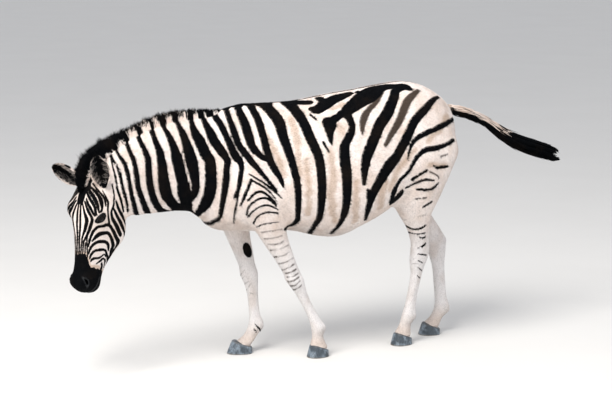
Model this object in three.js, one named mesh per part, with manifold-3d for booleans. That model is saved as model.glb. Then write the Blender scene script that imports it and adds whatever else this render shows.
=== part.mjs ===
// A plains zebra standing with its head lowered, life size, as one still model.
// Millimetres, +Z up. The animal faces -Y and its left side is +X; the soles stand on z = 0.
//
// Each part of the body is a loft: a few named sections, with smooth ones worked out between
// them. The lofts are joined to one body, which thin flat cuts part into head, neck, trunk,
// legs and tail. Every size is taken over the coat, out to the tips of the hair.

import * as THREE from 'three';
import { mergeVertices } from 'three/addons/utils/BufferGeometryUtils.js';
import Module from 'manifold-3d';

const wasm = await Module();
wasm.setup();

// ---- driving dimensions -------------------------------------------------------------

const GAP = 0.3; // thin cut between neighbours
const CENTRE_Y = 147; // moves the whole animal so that its outline is centred on the origin
const POLL = [110, -1452, 1003]; // top of the skull, between the ears
const HEAD_TURN = 24; // degrees from straight ahead towards the left
const NOSE_AHEAD = 9; // degrees that the nose hangs ahead of the poll
const EYE_RADIUS = 20;
const EYE_AT = { down: 174, front: -16, side: 84 }; // in the head's own measures
const EAR_LENGTH = 168;
const EAR_ROOT = { down: 18, front: -28, side: 70 };
const EAR_CUT = 48; // where the ear is parted from the skull, along its length
const EAR_RIM = 0.9; // width of the hollow for each unit of width
const EAR_DEPTH = 0.85; // depth of the cup for each unit of half width
const EAR_LIP = 1.5; // how far the rim stands in front of the hollow
const EAR_STEPS = 7; // points on each side of the crescent
const EAR_BLOCK = { back: 18, size: { across: 94, deep: 46, length: 150 } }; // holds one ear
const HOOF_HEIGHT = 50; // at the middle of the coronet
const CORONET_SLOPE = 20; // degrees, higher at the toe

// ---- sections -----------------------------------------------------------------------
// A section is an egg-shaped superellipse: it is widest at its centre, and its upper and lower
// halves have their own height and their own power (2 is an ellipse, more is boxier).

// Trunk, upright sections: y, top, widest level, bottom, half width, upper power, lower power
const TRUNK = [
  [-822, 1020, 880, 762, 40, 2.0, 2.0], // breast
  [-800, 1120, 880, 722, 92, 2.0, 2.0],
  [-740, 1240, 885, 688, 142, 1.9, 2.0],
  [-640, 1313, 890, 672, 186, 1.6, 2.1], // withers
  [-540, 1320, 900, 663, 212, 1.55, 2.1],
  [-430, 1319, 905, 661, 234, 1.7, 2.2], // girth, behind the elbow
  [-320, 1321, 905, 646, 255, 1.85, 2.2],
  [-200, 1335, 900, 613, 275, 1.95, 2.1],
  [-90, 1349, 895, 604, 286, 2.0, 2.1], // belly
  [20, 1360, 900, 645, 286, 2.0, 2.1],
  [120, 1373, 920, 688, 274, 2.05, 2.1],
  [210, 1384, 960, 742, 260, 2.1, 2.1], // flank
  [300, 1390, 1020, 800, 250, 2.2, 2.1], // croup
  [390, 1375, 1050, 820, 236, 2.2, 2.0],
  [470, 1338, 1060, 850, 205, 2.2, 2.0],
  [540, 1286, 1070, 910, 152, 2.2, 2.0],
  [580, 1236, 1080, 975, 86, 2.0, 2.0],
  [594, 1190, 1090, 1020, 32, 2.0, 2.0], // under the tail
];

// Neck, sections square to its line: x, y, z, half width, up, down, upper power, lower power
const NECK = [
  [0, -560, 1000, 176, 270, 290, 1.8, 2.1],
  [4, -690, 1005, 158, 284, 290, 1.8, 2.1],
  [10, -790, 1012, 140, 260, 262, 1.8, 2.1],
  [20, -885, 1022, 122, 243, 232, 1.8, 2.1],
  [35, -980, 1022, 108, 236, 222, 2.0, 2.2],
  [52, -1080, 1010, 99, 226, 210, 2.0, 2.2],
  [68, -1170, 992, 93, 210, 194, 2.0, 2.2],
  [82, -1250, 970, 88, 192, 174, 1.9, 2.2],
  [92, -1325, 948, 84, 168, 146, 2.0, 2.2],
  [98, -1375, 935, 70, 120, 110, 2.0, 2.0],
];

// Head, sections square to the face: distance down from the poll, centre to the front,
// half width, front, back, front power, back power
const HEAD = [
  [-24, -66, 26, 22, 28, 2.0, 2.0],
  [0, -60, 68, 60, 80, 2.3, 2.2], // poll
  [45, -58, 92, 86, 124, 2.7, 2.4],
  [95, -58, 102, 102, 150, 3.1, 2.4], // forehead
  [150, -62, 101, 110, 164, 3.1, 2.6],
  [205, -72, 91, 116, 163, 2.9, 2.9], // eyes and cheeks
  [255, -84, 81, 122, 153, 2.7, 3.1],
  [305, -84, 72, 118, 134, 2.6, 3.0], // corner of the jaw
  [355, -74, 63, 103, 108, 2.5, 2.8],
  [405, -64, 56, 90, 86, 2.5, 2.5],
  [450, -54, 56, 80, 74, 2.6, 2.5],
  [490, -50, 60, 74, 68, 2.6, 2.4], // nostrils
  [520, -50, 56, 66, 60, 2.5, 2.3],
  [540, -50, 40, 48, 44, 2.2, 2.2], // lips
  [550, -50, 12, 16, 14, 2.0, 2.0],
];

// Swellings of the head, as ellipsoids: down, front, side, then their radii on those lines
const HEAD_SWELLINGS = [
  [146, 10, 80, 46, 30, 30], // brow over the eye
  [236, -150, 44, 84, 78, 38], // cheek muscle
  [490, -12, 38, 36, 30, 27], // nostril
];
const CHIN = [500, -92, 0, 34, 26, 34];

// Ears: share of the length, half width, how much of its depth is hollow
const EAR = [
  [0, 26, 0.1],
  [0.12, 33, 0.15],
  [0.24, 40, 0.55],
  [0.4, 45, 0.76],
  [0.56, 44, 0.76],
  [0.72, 37, 0.72],
  [0.87, 24, 0.6],
  [0.96, 12, 0.4],
  [1, 4, 0.2],
];
// Where each points and opens, as down, front and side of the head
const EARS = {
  left: { hand: 1, along: [-0.9, 0.24, 0.05], open: [0, 0.72, 0.69] },
  right: { hand: -1, along: [-0.44, 0.6, -0.67], open: [0.35, -0.62, -0.7] },
};

// Legs, level sections: z, x, y, half width, front, back, power. x is for the left leg.
const FORELEG_LEFT = [
  [1180, 92, -520, 26, 60, 60, 2.0], // shoulder blade
  [1080, 120, -555, 62, 118, 112, 2.1],
  [960, 138, -590, 78, 128, 140, 2.2],
  [860, 142, -590, 78, 106, 165, 2.3], // point of the shoulder
  [770, 140, -545, 72, 96, 118, 2.2], // elbow
  [700, 138, -512, 64, 84, 88, 2.1],
  [630, 134, -478, 54, 72, 72, 2.1],
  [540, 130, -430, 43, 56, 58, 2.1], // forearm
  [460, 127, -388, 38, 47, 47, 2.2],
  [415, 126, -366, 39, 47, 46, 2.3], // knee
  [372, 125, -344, 33, 38, 38, 2.2],
  [310, 123, -313, 24, 30, 31, 2.1],
  [235, 121, -272, 23, 29, 31, 2.1], // cannon bone
  [185, 120, -247, 28, 33, 38, 2.1],
  [150, 119, -233, 32, 37, 42, 2.1], // fetlock
  [108, 118, -233, 27, 31, 32, 2.1], // pastern
  [70, 118, -232, 35, 40, 43, 2.1],
  [48, 118, -229, 43, 48, 51, 2.1],
  [20, 118, -229, 43, 48, 51, 2.1], // coronet
];
const FORELEG_RIGHT = [
  [1180, 92, -520, 26, 60, 60, 2.0],
  [1080, 120, -560, 62, 118, 112, 2.1],
  [960, 138, -605, 78, 124, 145, 2.2],
  [860, 142, -612, 78, 98, 170, 2.3],
  [770, 140, -598, 72, 84, 130, 2.2],
  [700, 138, -590, 63, 76, 92, 2.1],
  [630, 133, -574, 52, 66, 72, 2.1],
  [540, 129, -545, 42, 54, 56, 2.1],
  [455, 126, -520, 38, 45, 45, 2.2],
  [405, 125, -508, 39, 46, 44, 2.3],
  [360, 124, -499, 33, 37, 37, 2.2],
  [300, 122, -492, 24, 29, 30, 2.1],
  [210, 120, -484, 23, 29, 30, 2.1],
  [165, 119, -479, 28, 34, 37, 2.1],
  [128, 118, -482, 33, 39, 43, 2.1],
  [90, 118, -508, 29, 37, 38, 2.1],
  [66, 118, -532, 36, 44, 44, 2.1],
  [48, 118, -554, 43, 50, 51, 2.1],
  [20, 118, -554, 43, 50, 51, 2.1],
];
const HINDLEG_LEFT = [
  [1240, 106, 322, 34, 60, 84, 2.0], // hip
  [1150, 126, 352, 86, 144, 164, 2.1],
  [1040, 134, 380, 112, 180, 184, 2.3],
  [940, 134, 362, 114, 180, 166, 2.3], // thigh
  [850, 132, 336, 106, 158, 152, 2.2],
  [770, 128, 322, 92, 124, 130, 2.2], // stifle
  [700, 120, 330, 72, 90, 92, 2.1],
  [630, 107, 352, 53, 62, 70, 2.1], // gaskin
  [560, 94, 368, 40, 50, 60, 2.1],
  [505, 86, 374, 35, 50, 60, 2.2],
  [460, 81, 374, 35, 52, 58, 2.3], // hock
  [415, 78, 368, 32, 42, 46, 2.2],
  [360, 76, 360, 26, 31, 36, 2.1],
  [230, 73, 334, 24, 29, 34, 2.1], // cannon bone
  [180, 72, 325, 28, 34, 40, 2.1],
  [143, 71, 319, 32, 39, 44, 2.1], // fetlock
  [105, 70, 303, 28, 35, 37, 2.1], // pastern
  [72, 70, 291, 35, 43, 45, 2.1],
  [48, 70, 284, 42, 49, 52, 2.1],
  [20, 70, 284, 42, 49, 52, 2.1], // coronet
];
const HINDLEG_RIGHT = [
  [1240, 106, 326, 34, 60, 84, 2.0],
  [1150, 126, 356, 86, 144, 164, 2.1],
  [1040, 134, 390, 112, 180, 188, 2.3],
  [940, 134, 385, 112, 176, 176, 2.3],
  [850, 132, 380, 102, 158, 150, 2.2],
  [770, 126, 392, 86, 132, 122, 2.2],
  [700, 118, 428, 68, 98, 96, 2.1],
  [630, 105, 486, 52, 70, 76, 2.1],
  [565, 94, 540, 40, 56, 64, 2.1],
  [512, 88, 566, 36, 56, 60, 2.2],
  [462, 84, 574, 35, 52, 52, 2.3],
  [415, 80, 576, 32, 42, 46, 2.2],
  [360, 78, 580, 26, 32, 38, 2.1],
  [225, 74, 591, 24, 31, 36, 2.1],
  [165, 72, 597, 28, 35, 41, 2.1],
  [125, 71, 594, 32, 40, 48, 2.1],
  [90, 70, 568, 29, 38, 38, 2.1],
  [66, 70, 546, 36, 44, 44, 2.1],
  [48, 70, 532, 42, 49, 51, 2.1],
  [20, 70, 532, 42, 49, 51, 2.1],
];
const TOES_OUT = 12; // degrees that each foot turns outwards below the knee or hock
const TURN_FROM = 640; // level where the leg begins to turn
const TURN_FULL = 400; // level from which it is turned in full

// Hooves: level, half width, share of the toe's length, back, all about the centre of the coronet
const HOOF = [
  [80, 38, 0.56, 52],
  [50, 43, 0.75, 52],
  [0, 50, 1, 52],
];
const TOE_LENGTH = { foreleg_left: 64, foreleg_right: 82, hindleg_left: 64, hindleg_right: 66 };

// Tail, sections square to its line: x, y, z, half width, up, down, upper power, lower power
const TAIL = [
  [0, 520, 1240, 24, 22, 26, 2.0, 2.0],
  [0, 575, 1238, 28, 26, 32, 2.0, 2.0], // root
  [0, 630, 1219, 23, 23, 24, 2.0, 2.0],
  [0, 700, 1200, 20, 20, 22, 2.0, 2.0],
  [0, 770, 1173, 21, 23, 24, 2.0, 2.0],
  [0, 835, 1137, 24, 28, 28, 2.0, 2.0], // side hair begins
  [0, 900, 1092, 29, 33, 32, 2.0, 2.0],
  [0, 965, 1052, 34, 38, 37, 2.0, 2.0],
  [0, 1050, 1014, 38, 41, 42, 2.0, 2.0], // tuft
  [0, 1140, 984, 37, 39, 42, 2.0, 2.0],
  [0, 1220, 956, 31, 35, 37, 2.0, 2.0],
  [0, 1268, 936, 19, 26, 28, 2.0, 2.0],
  [0, 1286, 928, 7, 12, 14, 2.0, 2.0],
];
const TUFT_FROM = 905; // y at which the tuft takes over from the dock

// Mane, upright hair over the crest: x, y, crest level, height, half thickness
const MANE = [
  [4, -712, 1284, 8, 10],
  [8, -770, 1272, 26, 15],
  [18, -850, 1259, 46, 18],
  [32, -950, 1251, 57, 19],
  [48, -1060, 1236, 62, 20],
  [62, -1150, 1211, 61, 20],
  [78, -1240, 1178, 63, 20],
  [90, -1325, 1146, 67, 21],
  [100, -1402, 1106, 72, 23],
  [108, -1462, 1050, 70, 24],
  [118, -1494, 990, 36, 22], // forelock
  [122, -1502, 950, 12, 14],
];
const MANE_ROOT = 24; // how far the mane's solid reaches down into the neck

// ---- colours ------------------------------------------------------------------------

const COAT = new THREE.MeshStandardMaterial({ color: 0xe9ded2, roughness: 0.85, metalness: 0 });
const DARK_HAIR = new THREE.MeshStandardMaterial({ color: 0x17161a, roughness: 0.8, metalness: 0 });
const HORN = new THREE.MeshStandardMaterial({ color: 0x4c5560, roughness: 0.55, metalness: 0 });
const EYE = new THREE.MeshStandardMaterial({ color: 0x120c0a, roughness: 0.12, metalness: 0 });

// ---- smooth rows and rings ----------------------------------------------------------

// The row at place t between the given rows, on a Catmull-Rom curve through them.
function rowAt(rows, t) {
  const last = rows.length - 1;
  const i = Math.min(Math.floor(t), last - 1);
  const u = t - i;
  const near = [i - 1, i, i + 1, i + 2].map((k) => rows[Math.max(0, Math.min(last, k))]);
  const w = [
    -0.5 * u + u * u - 0.5 * u ** 3,
    1 - 2.5 * u * u + 1.5 * u ** 3,
    0.5 * u + 2 * u * u - 1.5 * u ** 3,
    -0.5 * u * u + 0.5 * u ** 3,
  ];
  return near[0].map((_, k) => w.reduce((sum, share, j) => sum + share * near[j][k], 0));
}

// The rows with `between` steps from each one to the next.
function smoothRows(rows, between) {
  const count = (rows.length - 1) * between;
  return Array.from({ length: count + 1 }, (_, i) => rowAt(rows, i / between));
}

// One ring of points round a section.
function ring(section, around) {
  const { centre, side, up, half, above, below, powerAbove, powerBelow } = section;
  return Array.from({ length: around }, (_, k) => {
    const angle = (2 * Math.PI * k) / around;
    const c = Math.cos(angle);
    const s = Math.sin(angle);
    const power = 2 / (s >= 0 ? powerAbove : powerBelow);
    const across = half * Math.sign(c) * Math.abs(c) ** power;
    const high = (s >= 0 ? above : below) * Math.sign(s) * Math.abs(s) ** power;
    return centre.clone().addScaledVector(side, across).addScaledVector(up, high);
  });
}

// A closed solid through rings of equal length, each end closed by a fan from its middle.
function solidOfRings(rings) {
  const around = rings[0].length;
  const middle = (points) =>
    points.reduce((sum, p) => sum.add(p), new THREE.Vector3()).divideScalar(points.length);
  const points = [...rings.flat(), middle(rings[0]), middle(rings.at(-1))];
  const first = rings.length * around;
  const faces = [];
  for (let i = 0; i < rings.length - 1; i++) {
    for (let k = 0; k < around; k++) {
      const a = i * around + k;
      const b = i * around + ((k + 1) % around);
      faces.push([a, b, b + around], [a, b + around, a + around]);
    }
  }
  for (let k = 0; k < around; k++) {
    const next = (k + 1) % around;
    const end = (rings.length - 1) * around;
    faces.push([first, next, k], [first + 1, end + k, end + next]);
  }
  const volume = faces.reduce(
    (sum, [a, b, c]) => sum + points[a].dot(points[b].clone().cross(points[c])), 0);
  const outward = volume > 0 ? faces : faces.map(([a, b, c]) => [a, c, b]);
  const mesh = new wasm.Mesh({
    numProp: 3,
    vertProperties: new Float32Array(points.flatMap((p) => [p.x, p.y, p.z])),
    triVerts: new Uint32Array(outward.flat()),
  });
  return new wasm.Manifold(mesh);
}

const loft = (sections, around) => solidOfRings(sections.map((s) => ring(s, around)));

// A three.js geometry as a solid.
function solidOf(geometry) {
  const bare = geometry.clone();
  bare.deleteAttribute('normal');
  bare.deleteAttribute('uv');
  const merged = mergeVertices(bare, 1e-4);
  return new wasm.Manifold(new wasm.Mesh({
    numProp: 3,
    vertProperties: new Float32Array(merged.attributes.position.array),
    triVerts: new Uint32Array(merged.index.array),
  }));
}

// A block that starts at the face centred on `from` and runs `length` along `axis`; `across` lies
// along `side`, and `grow` widens it on every face but the far one.
function region({ from, axis, side, across, deep, length }, grow = 0) {
  const third = new THREE.Vector3().crossVectors(axis, side);
  const box = new THREE.BoxGeometry(across + 2 * grow, deep + 2 * grow, length + grow)
    .translate(0, 0, (length - grow) / 2)
    .applyMatrix4(new THREE.Matrix4().makeBasis(side, third, axis))
    .translate(...from);
  return solidOf(box);
}

// ---- the pieces of the body ---------------------------------------------------------

const X = new THREE.Vector3(1, 0, 0);
const Z = new THREE.Vector3(0, 0, 1);

function trunk(between, around) {
  return loft(smoothRows(TRUNK, between).map(([y, top, level, bottom, half, crown, keel]) => ({
    centre: new THREE.Vector3(0, y, level), side: X, up: Z, half,
    above: top - level, below: level - bottom, powerAbove: crown, powerBelow: keel,
  })), around);
}

// Sections square to the line through x, y, z, with `up` as near to +Z as that allows.
function alongLine(rows) {
  return rows.map(([x, y, z, half, above, below, powerAbove, powerBelow], i) => {
    const before = rows[Math.max(0, i - 1)];
    const after = rows[Math.min(rows.length - 1, i + 1)];
    const along = new THREE.Vector3(...after.slice(0, 3)).sub(new THREE.Vector3(...before.slice(0, 3)));
    const side = new THREE.Vector3().crossVectors(along, Z).normalize();
    const up = new THREE.Vector3().crossVectors(side, along).normalize();
    return { centre: new THREE.Vector3(x, y, z), side, up, half, above, below, powerAbove, powerBelow };
  });
}

// The head's own axes: down the face, out of the forehead, and to its left.
const turn = THREE.MathUtils.degToRad(HEAD_TURN);
const ahead = THREE.MathUtils.degToRad(NOSE_AHEAD);
const facing = new THREE.Vector3(Math.sin(turn), -Math.cos(turn), 0);
const headDown = facing.clone().multiplyScalar(Math.sin(ahead)).addScaledVector(Z, -Math.cos(ahead));
const headFront = facing.clone().multiplyScalar(Math.cos(ahead)).addScaledVector(Z, Math.sin(ahead));
const headSide = new THREE.Vector3().crossVectors(Z, facing);

const headVector = ([down, front, side]) => new THREE.Vector3()
  .addScaledVector(headDown, down).addScaledVector(headFront, front).addScaledVector(headSide, side);
const onHead = (...measures) => headVector(measures).add(new THREE.Vector3(...POLL));

function skull(between, around) {
  return loft(smoothRows(HEAD, between).map(([down, front, half, fore, aft, brow, jaw]) => ({
    centre: onHead(down, front, 0), side: headSide, up: headFront, half,
    above: fore, below: aft, powerAbove: brow, powerBelow: jaw,
  })), around);
}

// An ellipsoid in the head's measures.
function swelling([down, front, side, long, deep, wide], segments) {
  const axes = new THREE.Matrix4().makeBasis(headFront, headDown, headSide);
  const geometry = new THREE.SphereGeometry(1, segments, Math.round(segments / 2) + 1)
    .scale(deep, long, wide).applyMatrix4(axes).translate(...onHead(down, front, side));
  return solidOf(geometry);
}

// How far a leg's section is turned outwards at a level, in radians.
function toeTurn(z) {
  const share = THREE.MathUtils.smoothstep(TURN_FROM - z, 0, TURN_FROM - TURN_FULL);
  return THREE.MathUtils.degToRad(TOES_OUT * share);
}

// A leg; hand is 1 on the left and -1 on the right.
function leg(rows, hand, between, around) {
  return loft(smoothRows(rows, between).map(([z, x, y, half, front, back, power]) => {
    const out = hand * toeTurn(z);
    return {
      centre: new THREE.Vector3(hand * x, y, z),
      side: new THREE.Vector3(Math.cos(out), Math.sin(out), 0),
      up: new THREE.Vector3(Math.sin(out), -Math.cos(out), 0),
      half, above: front, below: back, powerAbove: power, powerBelow: power,
    };
  }), around);
}

// A hoof, flat underneath, about the foot of a leg.
function hoof(rows, hand, toe, around) {
  const [, x, y] = rows.at(-1);
  const out = hand * toeTurn(0);
  return loft(HOOF.map(([z, half, share, back]) => ({
    centre: new THREE.Vector3(hand * x, y, z),
    side: new THREE.Vector3(Math.cos(out), Math.sin(out), 0),
    up: new THREE.Vector3(Math.sin(out), -Math.cos(out), 0),
    half, above: share * toe, below: back, powerAbove: 2.2, powerBelow: 2.6,
  })), around);
}

// Where an ear springs from and its own axes: up its length, out of its opening, and across it.
function earAxes({ hand, along, open }) {
  const root = onHead(EAR_ROOT.down, EAR_ROOT.front, hand * EAR_ROOT.side);
  const up = headVector(along).normalize();
  const wanted = headVector(open);
  const out = wanted.clone().addScaledVector(up, -wanted.dot(up)).normalize();
  return { root, up, out, side: new THREE.Vector3().crossVectors(up, out) };
}

// An ear: a leaf-shaped cup whose sections are thin crescents, open towards `out`.
function ear(shape) {
  const { root, up, out, side } = earAxes(shape);
  return solidOfRings(EAR.map(([share, half, hollow]) => {
    const middle = root.clone().addScaledVector(up, share * EAR_LENGTH);
    const arc = (wide, deep, forward) => Array.from({ length: EAR_STEPS }, (_, k) => {
      const angle = Math.PI * (k / (EAR_STEPS - 1));
      const back = deep * Math.sin(angle) - forward;
      return middle.clone().addScaledVector(side, wide * Math.cos(angle)).addScaledVector(out, -back);
    });
    const depth = half * EAR_DEPTH;
    return [
      ...arc(half, depth, EAR_LIP),
      ...arc(half * EAR_RIM, depth * hollow, 0).reverse(),
    ];
  }));
}

function mane(between, around, grow = 0) {
  return loft(alongLine(smoothRows(MANE, between).map(([x, y, z, height, half]) =>
    [x, y, z, half + grow, height + grow, MANE_ROOT + grow, 2.6, 2.0])), around);
}

// ---- joining and parting ------------------------------------------------------------

const HANDS = { left: 1, right: -1 };
const LEGS = {
  foreleg_left: FORELEG_LEFT,
  foreleg_right: FORELEG_RIGHT,
  hindleg_left: HINDLEG_LEFT,
  hindleg_right: HINDLEG_RIGHT,
};
const handOf = (name) => HANDS[name.split('_')[1]];
const Y = new THREE.Vector3(0, 1, 0);
const DOWN = Z.clone().negate();
const tilted = (degrees, axis) => axis.clone().applyAxisAngle(X, THREE.MathUtils.degToRad(degrees));

const parts = [];
const addPart = (name, solid, material) => parts.push({ name, solid, material });

// The whole body in one solid.
let head = skull(1, 20).add(swelling(CHIN, 10));
for (const [down, front, side, ...radii] of HEAD_SWELLINGS) {
  for (const hand of Object.values(HANDS)) {
    head = head.add(swelling([down, front, hand * side, ...radii], 12));
  }
}
let body = trunk(1, 24).add(loft(alongLine(smoothRows(NECK, 1)), 18)).add(head)
  .add(loft(alongLine(smoothRows(TAIL, 1)), 10));
for (const [name, rows] of Object.entries(LEGS)) {
  body = body.add(leg(rows, handOf(name), 1, 14));
}

// What lies inside the regions is taken off the body, with a thin gap round it.
function partOff(...regions) {
  const joined = (grow) => regions.map((r) => region(r, grow)).reduce((a, b) => a.add(b));
  const piece = body.intersect(joined(0));
  body = body.subtract(joined(GAP));
  return piece;
}

// One solid in two at a level: the part above it and the part below.
function splitAtLevel(solid, z) {
  const below = { from: [0, 0, z - GAP / 2], axis: DOWN, side: X, across: 4000, deep: 4000, length: 2000 };
  return { above: solid.subtract(region(below, GAP)), below: solid.intersect(region(below)) };
}

// The block below the sloping coronet of one leg.
function coronetBlock(rows, hand) {
  const [, x, y] = rows.at(-1);
  const side = new THREE.Vector3(Math.cos(hand * toeTurn(0)), Math.sin(hand * toeTurn(0)), 0);
  const axis = DOWN.clone().applyAxisAngle(side, -THREE.MathUtils.degToRad(CORONET_SLOPE));
  return { from: [hand * x, y, HOOF_HEIGHT], axis, side, across: 220, deep: 240, length: 160 };
}

// Hooves: the foot is cut off on that slope, and the horn goes under it.
for (const [name, rows] of Object.entries(LEGS)) {
  const hand = handOf(name);
  const foot = coronetBlock(rows, hand);
  addPart(`hoof_${name}`, hoof(rows, hand, TOE_LENGTH[name], 18).intersect(region(foot)), HORN);
  body = body.subtract(region(foot, GAP));
}

// Eyes, each in a socket of its own.
for (const [side, hand] of Object.entries(HANDS)) {
  const ball = (radius) =>
    swelling([EYE_AT.down, EYE_AT.front, hand * EYE_AT.side, radius, radius, radius], 14);
  addPart(`eye_${side}`, ball(EYE_RADIUS), EYE);
  body = body.subtract(ball(EYE_RADIUS + GAP));
}

// The mane stands in a slot along the crest.
addPart('mane', mane(1, 12), DARK_HAIR);
body = body.subtract(mane(1, 12, GAP));

// Ears, parted square to their length just above the skull by a block that only they fit in.
for (const [name, shape] of Object.entries(EARS)) {
  const { root, up, out, side } = earAxes(shape);
  body = body.add(ear(shape).subtract(mane(1, 12, GAP)));
  const from = root.addScaledVector(up, EAR_CUT).addScaledVector(out, -EAR_BLOCK.back);
  addPart(`ear_${name}`, partOff({ from, axis: up, side, ...EAR_BLOCK.size }), COAT);
}

// Legs, from the elbow and from the flank down, and each again at the knee or hock.
for (const [name, hand] of [['left', 1], ['right', -1]]) {
  const foreleg = partOff(
    { from: [hand * 280, -640, 740], axis: DOWN, side: X, across: 400, deep: 540, length: 150 },
    { from: [hand * 210, -400, 598], axis: DOWN, side: X, across: 400, deep: 700, length: 640 },
  );
  const fore = splitAtLevel(foreleg, 400);
  addPart(`foreleg_${name}_upper`, fore.above, COAT);
  addPart(`foreleg_${name}_lower`, fore.below, COAT);
  const hindleg = partOff(
    { from: [hand * 200.5, 380, 900], axis: tilted(27, DOWN), side: X, across: 400, deep: 520, length: 300 },
    { from: [hand * 200.5, 485, 725], axis: DOWN, side: X, across: 400, deep: 600, length: 760 },
  );
  const hind = splitAtLevel(hindleg, 440);
  addPart(`hindleg_${name}_upper`, hind.above, COAT);
  addPart(`hindleg_${name}_lower`, hind.below, COAT);
}

// Tail, head and neck, each beyond one cut.
const CUTS = [
  ['tail_tuft', [0, TUFT_FROM, 1100], tilted(-30, Y), 300, DARK_HAIR],
  ['tail', [0, 602, 1225], Y, 600, COAT],
  ['head', [100, -1325, 930], tilted(26, Y).negate(), 1600, COAT],
  ['neck', [0, -742, 1000], tilted(-12, Y).negate(), 1600, COAT],
];
for (const [name, from, axis, deep, material] of CUTS) {
  addPart(name, partOff({ from, axis, side: X, across: 800, deep, length: 1200 }), material);
}
addPart('trunk', body, COAT);

// ---- the scene graph ----------------------------------------------------------------

const zebra = new THREE.Group();
for (const { name, solid, material } of parts) {
  const { vertProperties, triVerts } = solid.getMesh();
  const geometry = new THREE.BufferGeometry();
  geometry.setAttribute('position', new THREE.BufferAttribute(vertProperties, 3));
  geometry.setIndex(new THREE.BufferAttribute(triVerts, 1));
  const mesh = new THREE.Mesh(geometry, material);
  mesh.name = name;
  zebra.add(mesh);
}
zebra.position.y = CENTRE_Y;

export default zebra;
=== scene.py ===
# %% [markdown]
# # A plains zebra, life size
# The packed solids are the fixed frame: they say where every part of the animal is. Everything
# that is made below lies on them or just inside them, and stands for one or more of them.

# %% Load the frame
import math
import bmesh
import bpy
import numpy as np
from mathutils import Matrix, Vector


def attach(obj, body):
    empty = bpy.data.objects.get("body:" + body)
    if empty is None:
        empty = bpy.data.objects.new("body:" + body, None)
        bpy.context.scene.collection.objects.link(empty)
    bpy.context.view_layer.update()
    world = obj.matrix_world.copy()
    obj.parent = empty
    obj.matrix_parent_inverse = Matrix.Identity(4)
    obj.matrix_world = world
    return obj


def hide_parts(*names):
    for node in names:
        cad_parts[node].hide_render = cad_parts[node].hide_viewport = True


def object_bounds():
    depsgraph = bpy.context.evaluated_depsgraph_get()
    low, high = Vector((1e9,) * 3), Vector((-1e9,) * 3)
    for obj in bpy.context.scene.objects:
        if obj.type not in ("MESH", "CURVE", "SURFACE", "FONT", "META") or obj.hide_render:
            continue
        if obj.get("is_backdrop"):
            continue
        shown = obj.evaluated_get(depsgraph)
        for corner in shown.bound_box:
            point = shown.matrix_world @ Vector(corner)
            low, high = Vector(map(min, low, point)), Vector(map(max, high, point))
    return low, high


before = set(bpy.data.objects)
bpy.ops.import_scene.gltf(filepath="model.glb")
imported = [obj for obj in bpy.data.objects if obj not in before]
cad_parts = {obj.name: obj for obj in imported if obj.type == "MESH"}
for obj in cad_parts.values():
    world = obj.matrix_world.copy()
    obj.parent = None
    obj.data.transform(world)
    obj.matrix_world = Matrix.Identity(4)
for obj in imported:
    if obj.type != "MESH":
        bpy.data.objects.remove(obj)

import openvdb as vdb
from mathutils import Matrix

cad_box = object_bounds()
print("nodes", len(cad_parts), "box", [tuple(round(v, 3) for v in corner) for corner in cad_box])

# %% [markdown]
# ## Sections
# A zebra's body is a handful of tapering tubes that flow into each other. Each tube is given by a
# few sections, in millimetres, the same ones that the solids are made from. A smooth curve through
# them gives every section in between, so the skin is as fine as we like and still keeps the frame's
# proportions.

# %% Sections of the body
def numbers(text):
    """Text as an array: commas end its rows, and spaces part its columns."""
    return np.array([[float(n) for n in row.split()] for row in text.split(",")])


CENTRE_Y = 147  # the body's own y runs from the withers; the frame's starts at the middle
# y, top, widest level, bottom, half width, upper power, lower power
TRUNK = numbers("""
-822 1020 880 762 40 2 2, -800 1120 880 722 92 2 2, -740 1240 885 688 142 1.9 2,
-640 1313 890 672 186 1.6 2.1, -540 1320 900 663 212 1.55 2.1, -430 1319 905 661 234 1.7 2.2,
-320 1321 905 646 255 1.85 2.2, -200 1335 900 613 275 1.95 2.1, -90 1349 895 604 286 2 2.1,
20 1360 900 645 286 2 2.1, 120 1373 920 688 274 2.05 2.1, 210 1384 960 742 260 2.1 2.1,
300 1390 1020 800 250 2.2 2.1, 390 1375 1050 820 236 2.2 2, 470 1338 1060 850 205 2.2 2,
540 1286 1070 910 152 2.2 2, 580 1236 1080 975 86 2 2, 594 1190 1090 1020 32 2 2""")
# x, y, z, half width, up, down, upper power, lower power
NECK = numbers("""
0 -560 1000 176 270 290 1.8 2.1, 4 -690 1005 158 284 290 1.8 2.1, 10 -790 1012 140 260 262 1.8 2.1,
20 -885 1022 122 243 232 1.8 2.1, 35 -980 1022 108 236 222 2 2.2, 52 -1080 1010 99 226 210 2 2.2,
68 -1170 992 93 210 194 2 2.2, 82 -1250 970 88 192 174 1.9 2.2, 92 -1325 948 84 168 146 2 2.2,
98 -1375 935 70 120 110 2 2""")
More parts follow.
